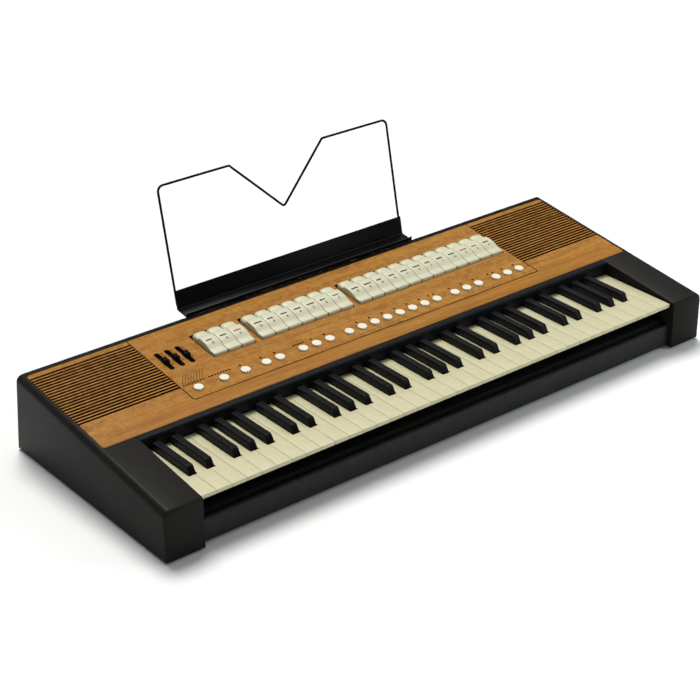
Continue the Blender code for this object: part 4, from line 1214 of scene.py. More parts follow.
    def marks(self) -> bmesh.types.BMesh:
        """Printed numbers beside the buttons and plain ticks at lamp rows and faders.

        Returns:
            The mesh.
        """
        places = [x for group in BUTTON_GROUPS for x in row(*group)]
        prints = [moved(numeral(str(number), self.number_height),
                        shift(x, BUTTON_S - self.number_offset, INK_THICKNESS / 2))
                  for number, x in enumerate(places, start=1)]
        for first, last, count, length in self.lamp_rows:
            lean, top = length * self.tick_lean, self.tick_s + length
            for x in spaced(first, last, count) if length else ():
                left, right = x - self.tick_half, x + self.tick_half
                prints.append(prism([(left, self.tick_s), (right, self.tick_s), (right + lean, top),
                                     (left + lean, top)], 0.0, INK_THICKNESS))
        for x in FADER_X:
            for index, s in enumerate(spaced(*self.fader_ticks_s)):
                left, half = x + self.fader_tick_x, self.fader_tick_half
                right = left + self.fader_tick_lengths[index % 4 == 0]
                prints.append(block((left, s - half, 0.0), (right, s + half, INK_THICKNESS)))
        return joined(prints)

    def in_stain_and_shade(self, face: bpy.types.MeshPolygon) -> bool:
        """Whether a face lies in a groove or opening, and not on the board's outer rim.

        Args:
            face: A face of the board.

        Returns:
            True where the wood is darkened: dark stain together with painted shade.
        """
        x, s, h = face.center
        margin = self.edge + 0.0002
        rim = (abs(x) > self.half_width - margin and abs(face.normal.x) > 0.3
               or s < self.front_s + margin or s > self.rear_s - margin)
        return 1e-4 - self.thickness < h < -0.0002 and not rim

    def build(self) -> None:
        """Make and dress the top, its lamps, marks, dust strips and grille cloths."""
        top = place(self.board(), "oak_top", "case", OAK_FACE, PANEL, ("wood_panel",), 30)
        # Grooves, joint line, openings and holes take the near-black oak: stain together with painted shade.
        second_finish(top, OAK_STAIN_AND_SHADE, self.in_stain_and_shade)
        for name, profile, finish in (("indicator_lamps", self.lens, LAMP_LENS),
                                      ("lamp_rims", self.rim, LAMP_RIM)):
            parts = [moved(turned(profile(radius), 16), shift(x, s, 0.0)) for x, s, radius in self.lamps()]
            place(joined(parts), name, "case", finish, PANEL)
        place(self.marks(), "panel_print", "case", PANEL_INK, PANEL)
        (front, rear), (bottom, upper) = self.strip_s, self.strip_h
        edges = [sorted(x + side * edge for edge in self.strip_x) for x in FADER_X for side in (-1, 1)]
        strips = [block((low, front, bottom), (high, rear, upper)) for low, high in edges]
        cloths = [self.under_grille(side, self.cloth_half, *self.cloth_h) for side in (-1, 1)]
        for name, parts in (("fader_dust_strips", strips), ("grille_backing", cloths)):
            place(joined(soften(part, 0.0001, 1) for part in parts), name, "case", FELT, PANEL)


@dataclass
class Keyboard:
    """Naturals and sharps of five octaves and the strips that they flex on."""

    octaves: int = 5
    gap: float = 0.001
    front_y: float = -0.200
    rear_y: float = 0.019
    top_z: float = 0.0745
    lip: float = 0.0052
    setback: float = 0.016
    body_z: float = 0.062
    body_inset: float = 0.0011
    plate_spread: float = 0.0003
    corner: float = 0.0008
    shoulder_radius: float = 0.0005
    sharp_front_y: float = -0.151
    sharp_rear_y: float = -0.0665
    sharp_top_z: float = 0.0855
    sharp_foot_z: float = 0.0680
    sharp_half: float = 0.006
    sharp_top_half: float = 0.0051
    sharp_nose: float = 0.0075
    sharp_edge: float = 0.0014
    sharp_clearance: float = 0.001
    arm_half: float = 0.0052
    strip_y: tuple[float, float] = (0.027, 0.041)
    strip_thickness: float = 0.0024
    web_thickness: float = 0.0012
    sharp_at: tuple[tuple[int, float], ...] = ((1, -0.0024), (2, 0.0023), (4, -0.0032), (5, 0.0), (6, 0.0035))
    nose_stations: tuple[Point, ...] = ((0.0, 0.16), (0.02, 0.22), (0.45, 0.62), (0.80, 0.90), (0.93, 0.97),
                                        (1.10, 0.996), (1.35, 1.0))
    naturals: tuple[tuple[str, tuple[int, ...], float], ...] = (
        ("CEGB", (0, 2, 4, 6), 0.0632), ("DFA", (1, 3, 5), 0.0668))
    sharps_layer_z: float = 0.0704

    def tail(self, degree: int) -> tuple[float, float]:
        """Sides of a natural between its neighbouring sharps.

        Args:
            degree: 0 for C to 7 for the next C.

        Returns:
            Left and right edge from the octave's left edge.
        """
        offsets = dict(self.sharp_at)
        reach = self.sharp_half + self.sharp_clearance
        left, right = degree * WHITE_PITCH + self.gap / 2, (degree + 1) * WHITE_PITCH - self.gap / 2
        if degree in offsets:
            left = degree * WHITE_PITCH + offsets[degree] + reach
        if degree + 1 in offsets:
            right = (degree + 1) * WHITE_PITCH + offsets[degree + 1] - reach
        return left, right

    def natural_plan(self, octave_x: float, degree: int, margin: float, front_y: float,
                     rear_y: float) -> tuple[list[Point], list[float]]:
        """Plan of a natural.

        Args:
            octave_x: Left edge of its octave.
            degree: 0 for C to 7 for the next C.
            margin: How far the sides are drawn in.
            front_y: Front edge.
            rear_y: Rear edge.

        Returns:
            The corners and the radius of each.
        """
        head_left = octave_x + degree % 7 * WHITE_PITCH + self.gap / 2
        head_right = head_left + WHITE_PITCH - self.gap
        left, right = (octave_x + edge for edge in self.tail(degree))
        if degree == 7:
            head_left, head_right = left, right
        shoulder = self.sharp_front_y - self.sharp_clearance - margin
        corners = [(head_left + margin, front_y), (head_right - margin, front_y)]
        radii = [self.corner, self.corner]
        if right < head_right - TOUCHING:
            corners += [(head_right - margin, shoulder), (right - margin, shoulder)]
            radii += [self.shoulder_radius] * 2
        corners += [(right - margin, rear_y), (left + margin, rear_y)]
        radii += [0.0, 0.0]
        if left > head_left + TOUCHING:
            corners += [(left + margin, shoulder), (head_left + margin, shoulder)]
            radii += [self.shoulder_radius] * 2
        return corners, radii

    def web(self, left: float, right: float, layer_z: float) -> bmesh.types.BMesh:
        """The thin web that a key flexes on, from its rear end into the strip.

        Args:
            left: Its left side.
            right: Its right side.
            layer_z: Height of its middle.

        Returns:
            The mesh.
        """
        half, start, end = self.web_thickness / 2, self.rear_y - 0.002, self.strip_y[0] + 0.001
        return block((left, start, layer_z - half), (right, end, layer_z + half))

    def natural(self, octave_x: float, degree: int, layer_z: float) -> list[bmesh.types.BMesh]:
        """A natural: plate with rounded edges, set-back body and flexing web.

        Args:
            octave_x: Left edge of its octave.
            degree: 0 for C to 7 for the next C.
            layer_z: Height of its set's strip.

        Returns:
            The three meshes.
        """
        corners, radii = self.natural_plan(octave_x, degree, -self.plate_spread, self.front_y, self.rear_y)
        plate = prism(rounded(corners, radii, 3), self.top_z - self.lip, self.top_z)
        corners, _ = self.natural_plan(octave_x, degree, self.body_inset, self.front_y + self.setback,
                                       self.rear_y - 0.0005)
        body = prism(corners, self.body_z, self.top_z - self.lip + 0.0002)
        left, right = (octave_x + edge for edge in self.tail(degree))
        return [soften(plate, 0.0004, 3, level(self.top_z)), soften(body, 0.0003, 1, level(self.body_z)),
                self.web(left + 0.002, right - 0.002, layer_z)]

    def sharp_ring(self, x: float, y: float, top: float) -> list[Point]:
        """Outline of a sharp across its length.

        Args:
            x: Its middle.
            y: Where the outline is.
            top: Height of the sharp there.

        Returns:
            The outline's points.
        """
        low = self.sharp_foot_z
        share = (top - low) / (self.sharp_top_z - low)
        half = self.sharp_half + (self.sharp_top_half - self.sharp_half) * share
        radius = min(self.sharp_edge, (top - low) * 0.6)
        knee = top - radius
        ring = [(x - self.sharp_half, y, low), (x - half - 0.0001, y, knee - (top - low - radius) * 0.15),
                (x - half, y, knee)]
        ring += [(x - half + radius - radius * math.cos(turn), y, knee + radius * math.sin(turn))
                 for turn in (math.pi / 8 * step for step in range(1, 5))]
        # This point just past the rounding keeps the painted edge highlight of a sharp to a narrow line.
        ring.append((x - half + radius + 0.0005, y, top))
        return ring + [(2 * x - px, y, pz) for px, _, pz in ring[::-1]]

    def sharp(self, x: float) -> list[bmesh.types.BMesh]:
        """A sharp: tapered head with a sloping nose and rounded top, arm and flexing web.

        Args:
            x: Its middle.

        Returns:
            The three meshes.
        """
        low, high = self.sharp_foot_z, self.sharp_top_z
        spots = [(self.sharp_front_y + self.sharp_nose * along, low + (high - low) * up)
                 for along, up in self.nose_stations]
        spots += [(self.sharp_rear_y - 0.004, high), (self.sharp_rear_y, high - 0.0006)]
        head = loft([self.sharp_ring(x, y, top) for y, top in spots])
        arm = block((x - self.arm_half, self.sharp_rear_y - 0.02, low + 0.0004),
                    (x + self.arm_half, self.rear_y, self.top_z - 0.0004))
        return [head, soften(arm, 0.0003, 1), self.web(x - 0.004, x + 0.004, self.sharps_layer_z)]

    def strip(self, octave_x: float, width: float, layer_z: float) -> bmesh.types.BMesh:
        """The strip that a set's webs run into.

        Args:
            octave_x: Left edge of its octave.
            width: Its width.
            layer_z: Height of its middle.

        Returns:
            The mesh.
        """
        half, (front, rear) = self.strip_thickness / 2, self.strip_y
        return soften(block((octave_x + self.gap / 2, front, layer_z - half),
                            (octave_x + width - self.gap / 2, rear, layer_z + half)), 0.0003, 1)

    def build(self) -> None:
        """Make and dress the fifteen sets of keys."""
        width = 7 * WHITE_PITCH
        for octave in range(self.octaves):
            octave_x, name = KEYBOARD_LEFT_X + octave * width, f"octave_{octave + 1}"
            for label, degrees, layer_z in self.naturals:
                extra = (7,) if octave == self.octaves - 1 and label == "CEGB" else ()
                parts = [part for degree in degrees + extra
                         for part in self.natural(octave_x, degree, layer_z)]
                parts.append(self.strip(octave_x, width + WHITE_PITCH * len(extra), layer_z))
                node = f"{name}_{label}_keys"
                place(joined(parts), f"{name}_{label}_naturals", node, IVORY, stands_for=(node,), angle=40)
            parts = [part for boundary, offset in self.sharp_at
                     for part in self.sharp(octave_x + boundary * WHITE_PITCH + offset)]
            parts.append(self.strip(octave_x, width, self.sharps_layer_z))
            node = f"{name}_black_keys"
            place(joined(parts), f"{name}_sharps", node, EBONY, stands_for=(node,), angle=34)


@dataclass
class StopTabs:
    """The rocking tabs with their printed figures."""

    pivot_s: float = 0.127
    pivot_h: float = -0.008
    clip_radius: float = 0.0018
    foot_h: float = -0.0115
    skirt_h: float = -0.0038
    spread: float = 0.0003
    crest_radius: float = 0.0080
    crest_s: float = 0.140
    crowns: tuple[float, float] = (0.00025, 0.0007)
    front_radius: float = 0.0030
    ink_h: float = 0.00027
    figure_s: float = 0.1172
    figure_height: float = 0.0044
    rule_s: float = 0.1246
    rule_half: float = 0.0014
    rule_left: float = -0.0072
    rule_right: float = 0.0062
    rule_step: float = 0.0012
    figures: str = "8 4 8 16 8 8 4 2 8 8 8 8 8 4 4 2 2 1 16 8 8 4"
    red: tuple[int, ...] = (3, 10, 20, 21)
    profile: tuple[tuple[float, float, float], ...] = (
        (0.0965, 0.0014, 0.0006), (0.0966, 0.0024, 0.0008), (0.0970, 0.0034, 0.0010),
        (0.0978, 0.0041, 0.0010), (0.0990, 0.0044, 0.0010), (0.1060, 0.0042, 0.0010),
        (0.1085, 0.0045, 0.0010), (0.1108, 0.0053, 0.0010), (0.1132, 0.0063, 0.0010),
        (0.1155, 0.0073, 0.0010), (0.1180, 0.0081, 0.0010), (0.1210, 0.0088, 0.0010),
        (0.1270, 0.0093, 0.0010), (0.1325, 0.0093, 0.0011), (0.1350, 0.0090, 0.0013),
        (0.1372, 0.0082, 0.0017), (0.1392, 0.0070, 0.0026), (0.1415, 0.0061, 0.0034),
        (0.1445, 0.0061, 0.0040), (0.1475, 0.0064, 0.0044), (0.1500, 0.0062, 0.0044),
        (0.1520, 0.0055, 0.0042), (0.1537, 0.0043, 0.0034), (0.1550, 0.0024, 0.0022),
        (0.1558, 0.0002, 0.0010))

    def inset(self, s: float) -> float:
        """How far the rounding of the plan's corners takes the sides in.

        Args:
            s: The place along the tab.

        Returns:
            The distance.
        """
        front, rear = self.profile[0][0], self.profile[-1][0] + 0.0003
        inset = 0.0
        for radius, depth in ((self.crest_radius, s - rear + self.crest_radius),
                              (self.front_radius, front + self.front_radius - s)):
            if depth > 0:
                inset = radius - math.sqrt(max(radius * radius - depth * depth, 0.0))
        return inset

    def shell(self, width: float) -> bmesh.types.BMesh:
        """The tab's upper form: low front lip, rise to the print area, dip and crest at the rear.

        Args:
            width: Its width.

        Returns:
            The mesh in (x, s, h).
        """
        rings = []
        for s, top, radius in self.profile:
            half = width / 2 - self.inset(s)
            ring = [(-half + 0.0003, self.skirt_h), (-half, top - radius)]
            ring += [(-half + radius * (1 - math.cos(turn)), top - radius * (1 - math.sin(turn)))
                     for turn in (math.pi * step / 10 for step in range(1, 6))]
            ring.append((-half * 0.35, top + self.crowns[s >= self.crest_s]))
            ring += [(-x, h) for x, h in ring[::-1]]
            rings.append([(x, s, h) for x, h in ring])
        return loft(rings)

    def clip(self, width: float) -> bmesh.types.BMesh:
        """The clip under the tab that grips the rod.

        Args:
            width: The tab's width.

        Returns:
            The mesh.
        """
        reach, foot, skirt = self.clip_radius, self.foot_h, self.skirt_h
        arch = [(self.pivot_s - reach * math.cos(turn), self.pivot_h + reach * math.sin(turn))
                for turn in (math.pi * step / 10 for step in range(11))]
        outline = [(self.pivot_s - reach, foot), *arch, (self.pivot_s + reach, foot), (0.1325, foot),
                   (0.1500, skirt), (0.1040, skirt), (0.1215, foot)]
        return moved(prism(outline[::-1], -width / 2 + 0.001, width / 2 - 0.001), ALONG_X)

    def on_surface(self, s: float) -> Matrix:
        """Where print lies on the tab's top.

        Args:
            s: The place along the tab.

        Returns:
            A frame whose XY plane touches the top there.
        """
        s0, h0, s1, h1 = next((*low[:2], *high[:2]) for low, high in zip(self.profile, self.profile[1:])
                              if low[0] <= s <= high[0])
        height = h0 + (h1 - h0) * (s - s0) / (s1 - s0)
        return shift(0, s, height + self.ink_h) @ Matrix.Rotation(math.atan2(h1 - h0, s1 - s0), 4, "X")

    def printing(self, number: int) -> bmesh.types.BMesh:
        """A plain figure and a rule of one of four lengths.

        Args:
            number: The tab's number from the left.

        Returns:
            The mesh.
        """
        figure = numeral(self.figures.split()[number - 1], self.figure_height)
        right = self.rule_right - self.rule_step * (number * 7 % 4)
        sides = rectangle(self.rule_left, -self.rule_half, right, self.rule_half)
        rule = prism(rounded(sides, [0.0006] * 4, 3), 0.0, INK_THICKNESS)
        return joined([moved(figure, self.on_surface(self.figure_s)),
                       moved(rule, self.on_surface(self.rule_s))])

    def build(self) -> None:
        """Make and dress the tabs."""
        width = CONTROL_PITCH - TAB_GAP
        for number, left in enumerate((x for group in TAB_GROUPS for x in row(*group)), start=1):
            node, spot = f"stop_tab_{number:02d}", PANEL @ shift(left + width / 2, 0.0, 0.0)
            place(joined([self.shell(width + self.spread), self.clip(width)]), f"tab_{number:02d}", node,
                  TAB_PLASTIC, spot, (node,), 42)
            place(self.printing(number), f"tab_{number:02d}_print", node,
                  RED_INK if number in self.red else TAB_INK, spot)


@dataclass
class PushButtons:
    """Round push buttons on their carrier bars."""

    radius: float = 0.0071
    height: float = 0.0028
    bottom_h: float = -0.0085
    bar_half: tuple[float, float] = (0.009, 0.0055)
    bar_h: tuple[float, float] = (-0.0095, -0.0075)

    def cap(self, x: float) -> bmesh.types.BMesh:
        """A cap with a shallow finger dish inside a rounded rim.

        Args:
            x: Its middle.

        Returns:
            The mesh.
        """
        r, h = self.radius, self.height
        profile = [(0.0, h - 0.00035), (r * 0.45, h - 0.00022), (r * 0.72, h - 0.00004), (r * 0.84, h),
                   (r * 0.93, h - 0.00022), (r * 0.985, h - 0.00065), (r, h - 0.0012), (r, self.bottom_h),
                   (0.0, self.bottom_h)]
        return moved(turned(profile, 40), shift(x, BUTTON_S, 0.0))

    def build(self) -> None:
        """Make and dress each group of buttons."""
        side, along = self.bar_half
        for number, group in enumerate(BUTTON_GROUPS, start=1):
            places, node = row(*group), f"button_strip_{number}"
            bar = block((places[0] - side, BUTTON_S - along, self.bar_h[0]),
                        (places[-1] + side, BUTTON_S + along, self.bar_h[1]))
            place(joined([soften(bar, 0.0003, 1), *map(self.cap, places)]), f"buttons_{number}", node,
                  BUTTON_PLASTIC, PANEL, (node,), 50)


@dataclass
class Faders:
    """Fader caps with a finger hollow between two grips, and a pointer line."""

    length: float = 0.012
    width: float = 0.0074
    height: float = 0.0066
    hollow: float = 0.80
    line_half: tuple[float, float] = (0.0031, 0.00035)
    blade: tuple[Point, Point] = ((-0.0007, -0.0025, -0.0112), (0.0007, 0.0025, 0.002))

    def cap(self) -> bmesh.types.BMesh:
        """The cap: two raised ends with a hollow between them.

        Returns:
            The mesh.
        """
        half, top, edge = self.length / 2, self.height, self.width / 2
        shape = [(0.94, 0.45), (0.74, 0.97), (0.62, 1.0), (0.50, 0.985), (0.30, 0.87)]
        side = [(-half, 0.0005), (half, 0.0005), *((half * s, top * h) for s, h in shape),
                (0.0, top * self.hollow), *((-half * s, top * h) for s, h in shape[::-1])]
        return soften(moved(prism(side, -edge, edge), ALONG_X), 0.0006, 3,
                      lambda a, b: abs(abs(a.x) - edge) < TOUCHING and abs(a.x - b.x) < TOUCHING)

    def build(self) -> None:
        """Make and dress the three faders."""
        (across, along), top = self.line_half, self.height * self.hollow
        for number, (x, s) in enumerate(zip(FADER_X, FADER_S), start=1):
            node, spot = f"fader_{number}", PANEL @ shift(x, s, 0.0)
            place(joined([self.cap(), block(*self.blade)]), f"fader_cap_{number}", node, FADER_BLACK, spot,
                  (node,), 40)
            line = block((-across, -along, top - 0.0002), (across, along, top + 0.00006))
            place(line, f"fader_line_{number}", node, FADED_INK, spot)


@dataclass
class MusicRest:
    """The lift-off rest: folded tray, wire frame with its notch and two hanger plates."""

    lip_s: float = 0.2004
    fold_s: float = 0.2237
    lip: float = 0.006
    thickness: float = 0.0012
    half_width: float = 0.210
    band: float = 0.0282
    floor_h: float = 0.00006
    lip_radius: float = 0.0008
    fold_radius: float = 0.0024
    hollow_s: tuple[float, float] = (-0.0034, 0.0010)
    hollow_h: tuple[float, float] = (0.0012, 0.0050)
    lean: float = math.radians(18.7)
    wire: float = 0.00175
    wire_half: float = 0.2078
    wire_height: float = 0.1836
    wire_foot: float = 0.006
    sunk: float = 0.0010
    corner: float = 0.009
    notch_half: float = 0.0845
    notch_depth: float = 0.0827
    notch_radii: tuple[float, ...] = (0.005, 0.0045, 0.005)
    weld_x: float = 0.2061
    weld_y: tuple[float, ...] = (0.0085, 0.0165, 0.0245)
    weld_stretch: Point = (0.8, 1.5, 0.75, 1.0)
    hanger_x: float = 0.120
    hanger_half: float = 0.012
    hanger_length: float = 0.040
    hanger_top: float = 0.0009
    hanger_radius: float = 0.005
    hanger_thickness: float = 0.0013
    hanger_gap: float = 0.00115

    @property
    def up(self) -> Vector:
        """The (s, h) direction of the rest's lean."""
        return Vector((math.sin(self.lean), math.cos(self.lean)))

    def tray(self) -> bmesh.types.BMesh:
        """The folded sheet with rounded folds and softened ends.

        Returns:
            The mesh.
        """
        fold, half = Vector((self.fold_s, CLEARANCE)), self.half_width
        path = [(self.lip_s, CLEARANCE + self.lip), (self.lip_s, self.floor_h), tuple(fold),
                tuple(fold + self.up * self.band)]
        folds = rounded(path, (0.0, self.lip_radius, self.fold_radius, 0.0), 7)
        return soften(sheet(folds, self.thickness, half), 0.0004, 2,
                      lambda a, b: max(abs(a.x), abs(b.x)) > half - TOUCHING, 60)

    def in_fold_highlight(self, face: bpy.types.MeshPolygon) -> bool:
        """Whether a face of the tray is in the hollow of the rear fold or on the lip's edge.

        Args:
            face: A face of the tray.

        Returns:
            True where the lighter grey of a painted highlight line is laid.
        """
        _, s, h = face.center
        near, far = (self.fold_s + reach for reach in self.hollow_s)
        hollow = near < s < far and self.hollow_h[0] < h < self.hollow_h[1]
        hollow = hollow and face.normal.y < -0.25 and 0.35 < face.normal.z < 0.97
        return hollow or s < self.lip_s + 0.0014 and h > self.lip - 0.0001 and face.normal.z > 0.5

    def frame_matrix(self) -> Matrix:
        """Where the wire frame's plane is.

        Returns:
            A frame in the panel frame, with X across and Y up the lean.
        """
        rear = Vector((self.up.y, -self.up.x))
        origin = Vector((self.fold_s, CLEARANCE)) + rear * (self.thickness / 2 + self.wire - self.sunk)
        across, up = Vector((1, 0, 0)), Vector((0, *self.up))
        return shift(0, *origin) @ Matrix((across, up, across.cross(up))).transposed().to_4x4()

    def wire_line(self) -> list[Point]:
        """Centreline of the wire, with rounded bends.

        Returns:
            The line's points in the frame's plane.
        """
        top, half, notch = self.wire_height - self.wire, self.wire_half, self.notch_half
        line = [(-half, self.wire_foot), (-half, top), (-notch, top), (0.0, top - self.notch_depth),
                (notch, top), (half, top), (half, self.wire_foot)]
        return rounded(line, (0.0, self.corner, *self.notch_radii, self.corner, 0.0), 9)

    def weld(self, x: float, y: float) -> bmesh.types.BMesh:
        """A bead between the wire and the tray's band.

        Args:
            x: Its place across the frame.
            y: Its place up the frame.

        Returns:
            The mesh.
        """
        profile = [(0.0, 0.0020), (0.0012, 0.0017), (0.0021, 0.0008), (0.0024, -0.0004), (0.0, -0.0008)]
        return moved(turned(profile, 14), shift(x, y, 0.0012) @ Matrix.Diagonal(self.weld_stretch))

    def hanger(self, x: float) -> bmesh.types.BMesh:
        """A plate that hangs into a keeper behind the case.

        Args:
            x: Its middle.

        Returns:
            The mesh.
        """
        half, edge = self.hanger_half, self.hanger_thickness / 2
        outline = rounded(rectangle(x - half, -self.hanger_length, x + half, self.hanger_top),
                          (self.hanger_radius, self.hanger_radius, 0.0, 0.0), 6)
        upright = Matrix.Rotation(math.pi / 2, 4, "X")
        return moved(soften(prism(outline, -edge, edge), 0.0002, 1),
                     shift(0, CASE_REAR_S + self.hanger_gap, 0) @ upright)

    def build(self) -> None:
        """Make and dress the rest."""
        body = "music_rest"
        tray = place(self.tray(), "rest_tray", body, REST_STEEL, PANEL, ("music_rest",), 30)
        # The fold's hollow and the lip's top edge get a painted highlight line.
        second_finish(tray, FOLD_HIGHLIGHT_STEEL, self.in_fold_highlight)
        plane = PANEL @ self.frame_matrix()
        place(tube(self.wire_line(), self.wire, 14), "rest_wire", body, REST_STEEL, plane, angle=50)
        welds = [self.weld(x, y) for x in (-self.weld_x, self.weld_x) for y in self.weld_y]
        place(joined(welds), "rest_welds", body, REST_STEEL, plane, angle=60)
        hangers = joined(map(self.hanger, (-self.hanger_x, self.hanger_x)))
        place(hangers, "rest_hangers", body, REST_STEEL, PANEL, angle=40)


@dataclass
class ConnectorPlate:
    """The rear plate with mains inlet, jack sockets and round sockets."""

    x_span: tuple[float, float] = (0.170, 0.390)
    h_span: tuple[float, float] = (-0.096, -0.054)
    face_s: float = CASE_REAR_S - 0.0004
    back_s: float = 0.184
    inlet_x: float = 0.360
    inlet_half: tuple[float, float] = (0.01375, 0.010)
    inlet_cut: float = 0.005
    inlet_depth: float = 0.014
    pins: tuple[Point, ...] = ((-0.007, -0.002), (0.0, 0.002), (0.007, -0.002))
    socket_depth: float = 0.012
    jack_x: tuple[float, ...] = (0.186, 0.206, 0.226, 0.246)
    jack_radius: float = 0.0035
    nut_radius: float = 0.0066
    round_x: tuple[float, ...] = (0.275, 0.305)
    round_radius: float = 0.0075
    contacts: int = 5
    contact_circle: float = 0.0048
    contact_radius: float = 0.00065
    core_s: float = -0.0085

    def facing(self, x: float) -> Matrix:
        """A socket's frame in the panel frame: local Z out of the rear face, local Y up."""
        turn = Matrix(((-1, 0, 0, 0), (0, 0, 1, 0), (0, 1, 0, 0), (0, 0, 0, 1)))
        return shift(x, self.face_s, sum(self.h_span) / 2) @ turn

    def inlet_outline(self, margin: float) -> list[Point]:
        """The inlet's outline with two cut upper corners.

        Args:
            margin: How far the outline is grown.

        Returns:
            Its points.
        """
        w, h, cut = self.inlet_half[0] + margin, self.inlet_half[1] + margin, self.inlet_cut
        return rounded([(-w, -h), (w, -h), (w, h - cut), (w - cut, h), (-w + cut, h), (-w, h - cut)],
                       [0.001] * 6, 4)

    def body(self) -> bmesh.types.BMesh:
        """The plate with its hollows.

        Returns:
            The mesh.
        """
        (left, right), (low, high) = self.x_span, self.h_span
        plate = soften(block((left, self.back_s, low), (right, self.face_s, high)), 0.0004)
        inlet = moved(prism(self.inlet_outline(0.0), -self.inlet_depth, 0.005), self.facing(self.inlet_x))
        bores = [moved(rod(radius, -self.socket_depth, THROUGH, segments), self.facing(x))
                 for radius, segments, places in ((self.jack_radius, 32, self.jack_x),
                                                  (self.round_radius, 40, self.round_x)) for x in places]
        return carved(plate, inlet, joined(bores))

    def nut(self, x: float) -> bmesh.types.BMesh:
        """A hexagon nut with a chamfered rim round a jack's bush.

        Args:
            x: Its middle.

        Returns:
            The mesh.
        """
        corners = [(self.nut_radius * math.cos(turn), self.nut_radius * math.sin(turn))
                   for turn in (math.pi / 3 * step for step in range(6))]
        nut = carved(soften(prism(corners, 0.0001, 0.0014), 0.0003), rod(0.0046, -THROUGH, THROUGH, 32))
        bush = turned([(0.0045, 0.0015), (0.0042, 0.0017), (0.0037, 0.0017), (0.0034, 0.0014),
                       (0.0034, -0.0100), (0.00345, -0.0110), (0.0045, -0.0002)], 32)
        return moved(joined([nut, bush]), self.facing(x))

    def inlet_rim(self) -> bmesh.types.BMesh:
        """The raised frame round the mains inlet.

        Returns:
            The mesh.
        """
        frame = soften(prism(self.inlet_outline(0.0022), 0.0001, 0.0012), 0.0004)
        return moved(carved(frame, prism(self.inlet_outline(0.0002), -THROUGH, THROUGH)),
                     self.facing(self.inlet_x))

    def pin(self, x: float, h: float) -> bmesh.types.BMesh:
        """A flat pin of the mains inlet."""
        pin = block((x - 0.001, h - 0.002, -0.0142), (x + 0.001, h + 0.002, -0.0035))
        return moved(soften(pin, 0.0005), self.facing(self.inlet_x))

    def ring(self, x: float) -> bmesh.types.BMesh:
        """The metal sleeve of a round socket.

        Args:
            x: Its middle.

        Returns:
            The mesh.
        """
        profile = [(0.0076, 0.0001), (0.0092, 0.0001), (0.0092, 0.0008), (0.0088, 0.0012), (0.0078, 0.0012),
                   (0.0074, 0.0008), (0.0074, -0.0110), (0.0076, -0.0110)]
        return moved(turned(profile, 40), self.facing(x))

    def core(self, x: float) -> bmesh.types.BMesh:
        """The insert of a round socket with its contact holes in a half circle.

        Args:
            x: Its middle.

        Returns:
            The mesh.
        """
        core = turned([(0.0, self.core_s), (0.0071, self.core_s), (0.0073, -0.0089), (0.0073, -0.0119),
                       (0.0, -0.0119)], 32)
        turns = spaced(math.pi, 2 * math.pi, self.contacts)
        holes = [moved(rod(self.contact_radius, -0.002, 0.002, 12),
                       shift(self.contact_circle * math.cos(turn), self.contact_circle * math.sin(turn),
                             self.core_s)) for turn in turns]
        return moved(carved(core, joined(holes)), self.facing(x))

    def number(self, index: int, x: float) -> bmesh.types.BMesh:
        """A printed number under a jack socket."""
        return moved(numeral(str(index), 0.0026), self.facing(x) @ shift(0, -0.0115, 0.00005))

    def build(self) -> None:
        """Make and dress the plate and its sockets."""
        place(self.body(), "socket_plate", "case", COATED_STEEL, PANEL, ("connector_panel",), 40)
        metal = [self.pin(*spot) for spot in self.pins] + [self.ring(x) for x in self.round_x]
        figures = [self.number(index, x) for index, x in enumerate(self.jack_x, start=1)]
        for name, parts, finish in (("jack_nuts", map(self.nut, self.jack_x), ZINC),
                                    ("inlet_rim", [self.inlet_rim()], EBONY), ("socket_metal", metal, ZINC),
                                    ("socket_cores", map(self.core, self.round_x), EBONY),
                                    ("socket_numbers", figures, GREY_INK)):
            place(joined(parts), name, "case", finish, PANEL)


@dataclass
class Speaker:
    """A round driver: rim, roll surround, cone, dust cap, basket and magnet."""

    radius: float = 0.052

    def basket(self) -> bmesh.types.BMesh:
        """Rim, basket and magnet as one turned body.

        Returns:
            The mesh.
        """
        rim = self.radius
        profile = [(0.0, -0.0215), (0.014, -0.0205), (rim - 0.0125, -0.0092), (rim - 0.0060, -0.0078),
                   (rim - 0.0055, -0.0057), (rim - 0.0004, -0.0057), (rim, -0.0061), (rim, -0.0078),
                   (rim - 0.008, -0.0086), (0.027, -0.0228), (0.026, -0.0236), (0.0258, -0.0325),
                   (0.0250, -0.0330), (0.0, -0.0330)]
        return turned(profile, 48)

    def cone(self) -> bmesh.types.BMesh:
        """Roll surround, cone and dust cap.

        Returns:
            The mesh.
        """
        rim = self.radius
        profile = [(0.0, -0.0150), (0.006, -0.0156), (0.0115, -0.0172), (0.0130, -0.0182), (0.020, -0.0148),
                   (rim - 0.0145, -0.0078), (rim - 0.0130, -0.0068), (rim - 0.0105, -0.0060),
                   (rim - 0.0080, -0.0064), (rim - 0.0062, -0.0074), (rim - 0.0062, -0.0078),
                   (rim - 0.0142, -0.0084), (0.020, -0.0156), (0.0130, -0.0192), (0.0, -0.0192)]
        return turned(profile, 48)

    def build(self, name: str, side: int) -> None:
        """Make and dress a driver.

        Args:
            name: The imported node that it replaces.
            side: -1 for the left, 1 for the right.
        """
        spot = PANEL @ shift(side * SPEAKER_X, SPEAKER_S, 0.0)
        place(self.basket(), f"{name}_basket", "case", COATED_STEEL, spot, (name,))
        place(self.cone(), f"{name}_cone", "case", CONE, spot)


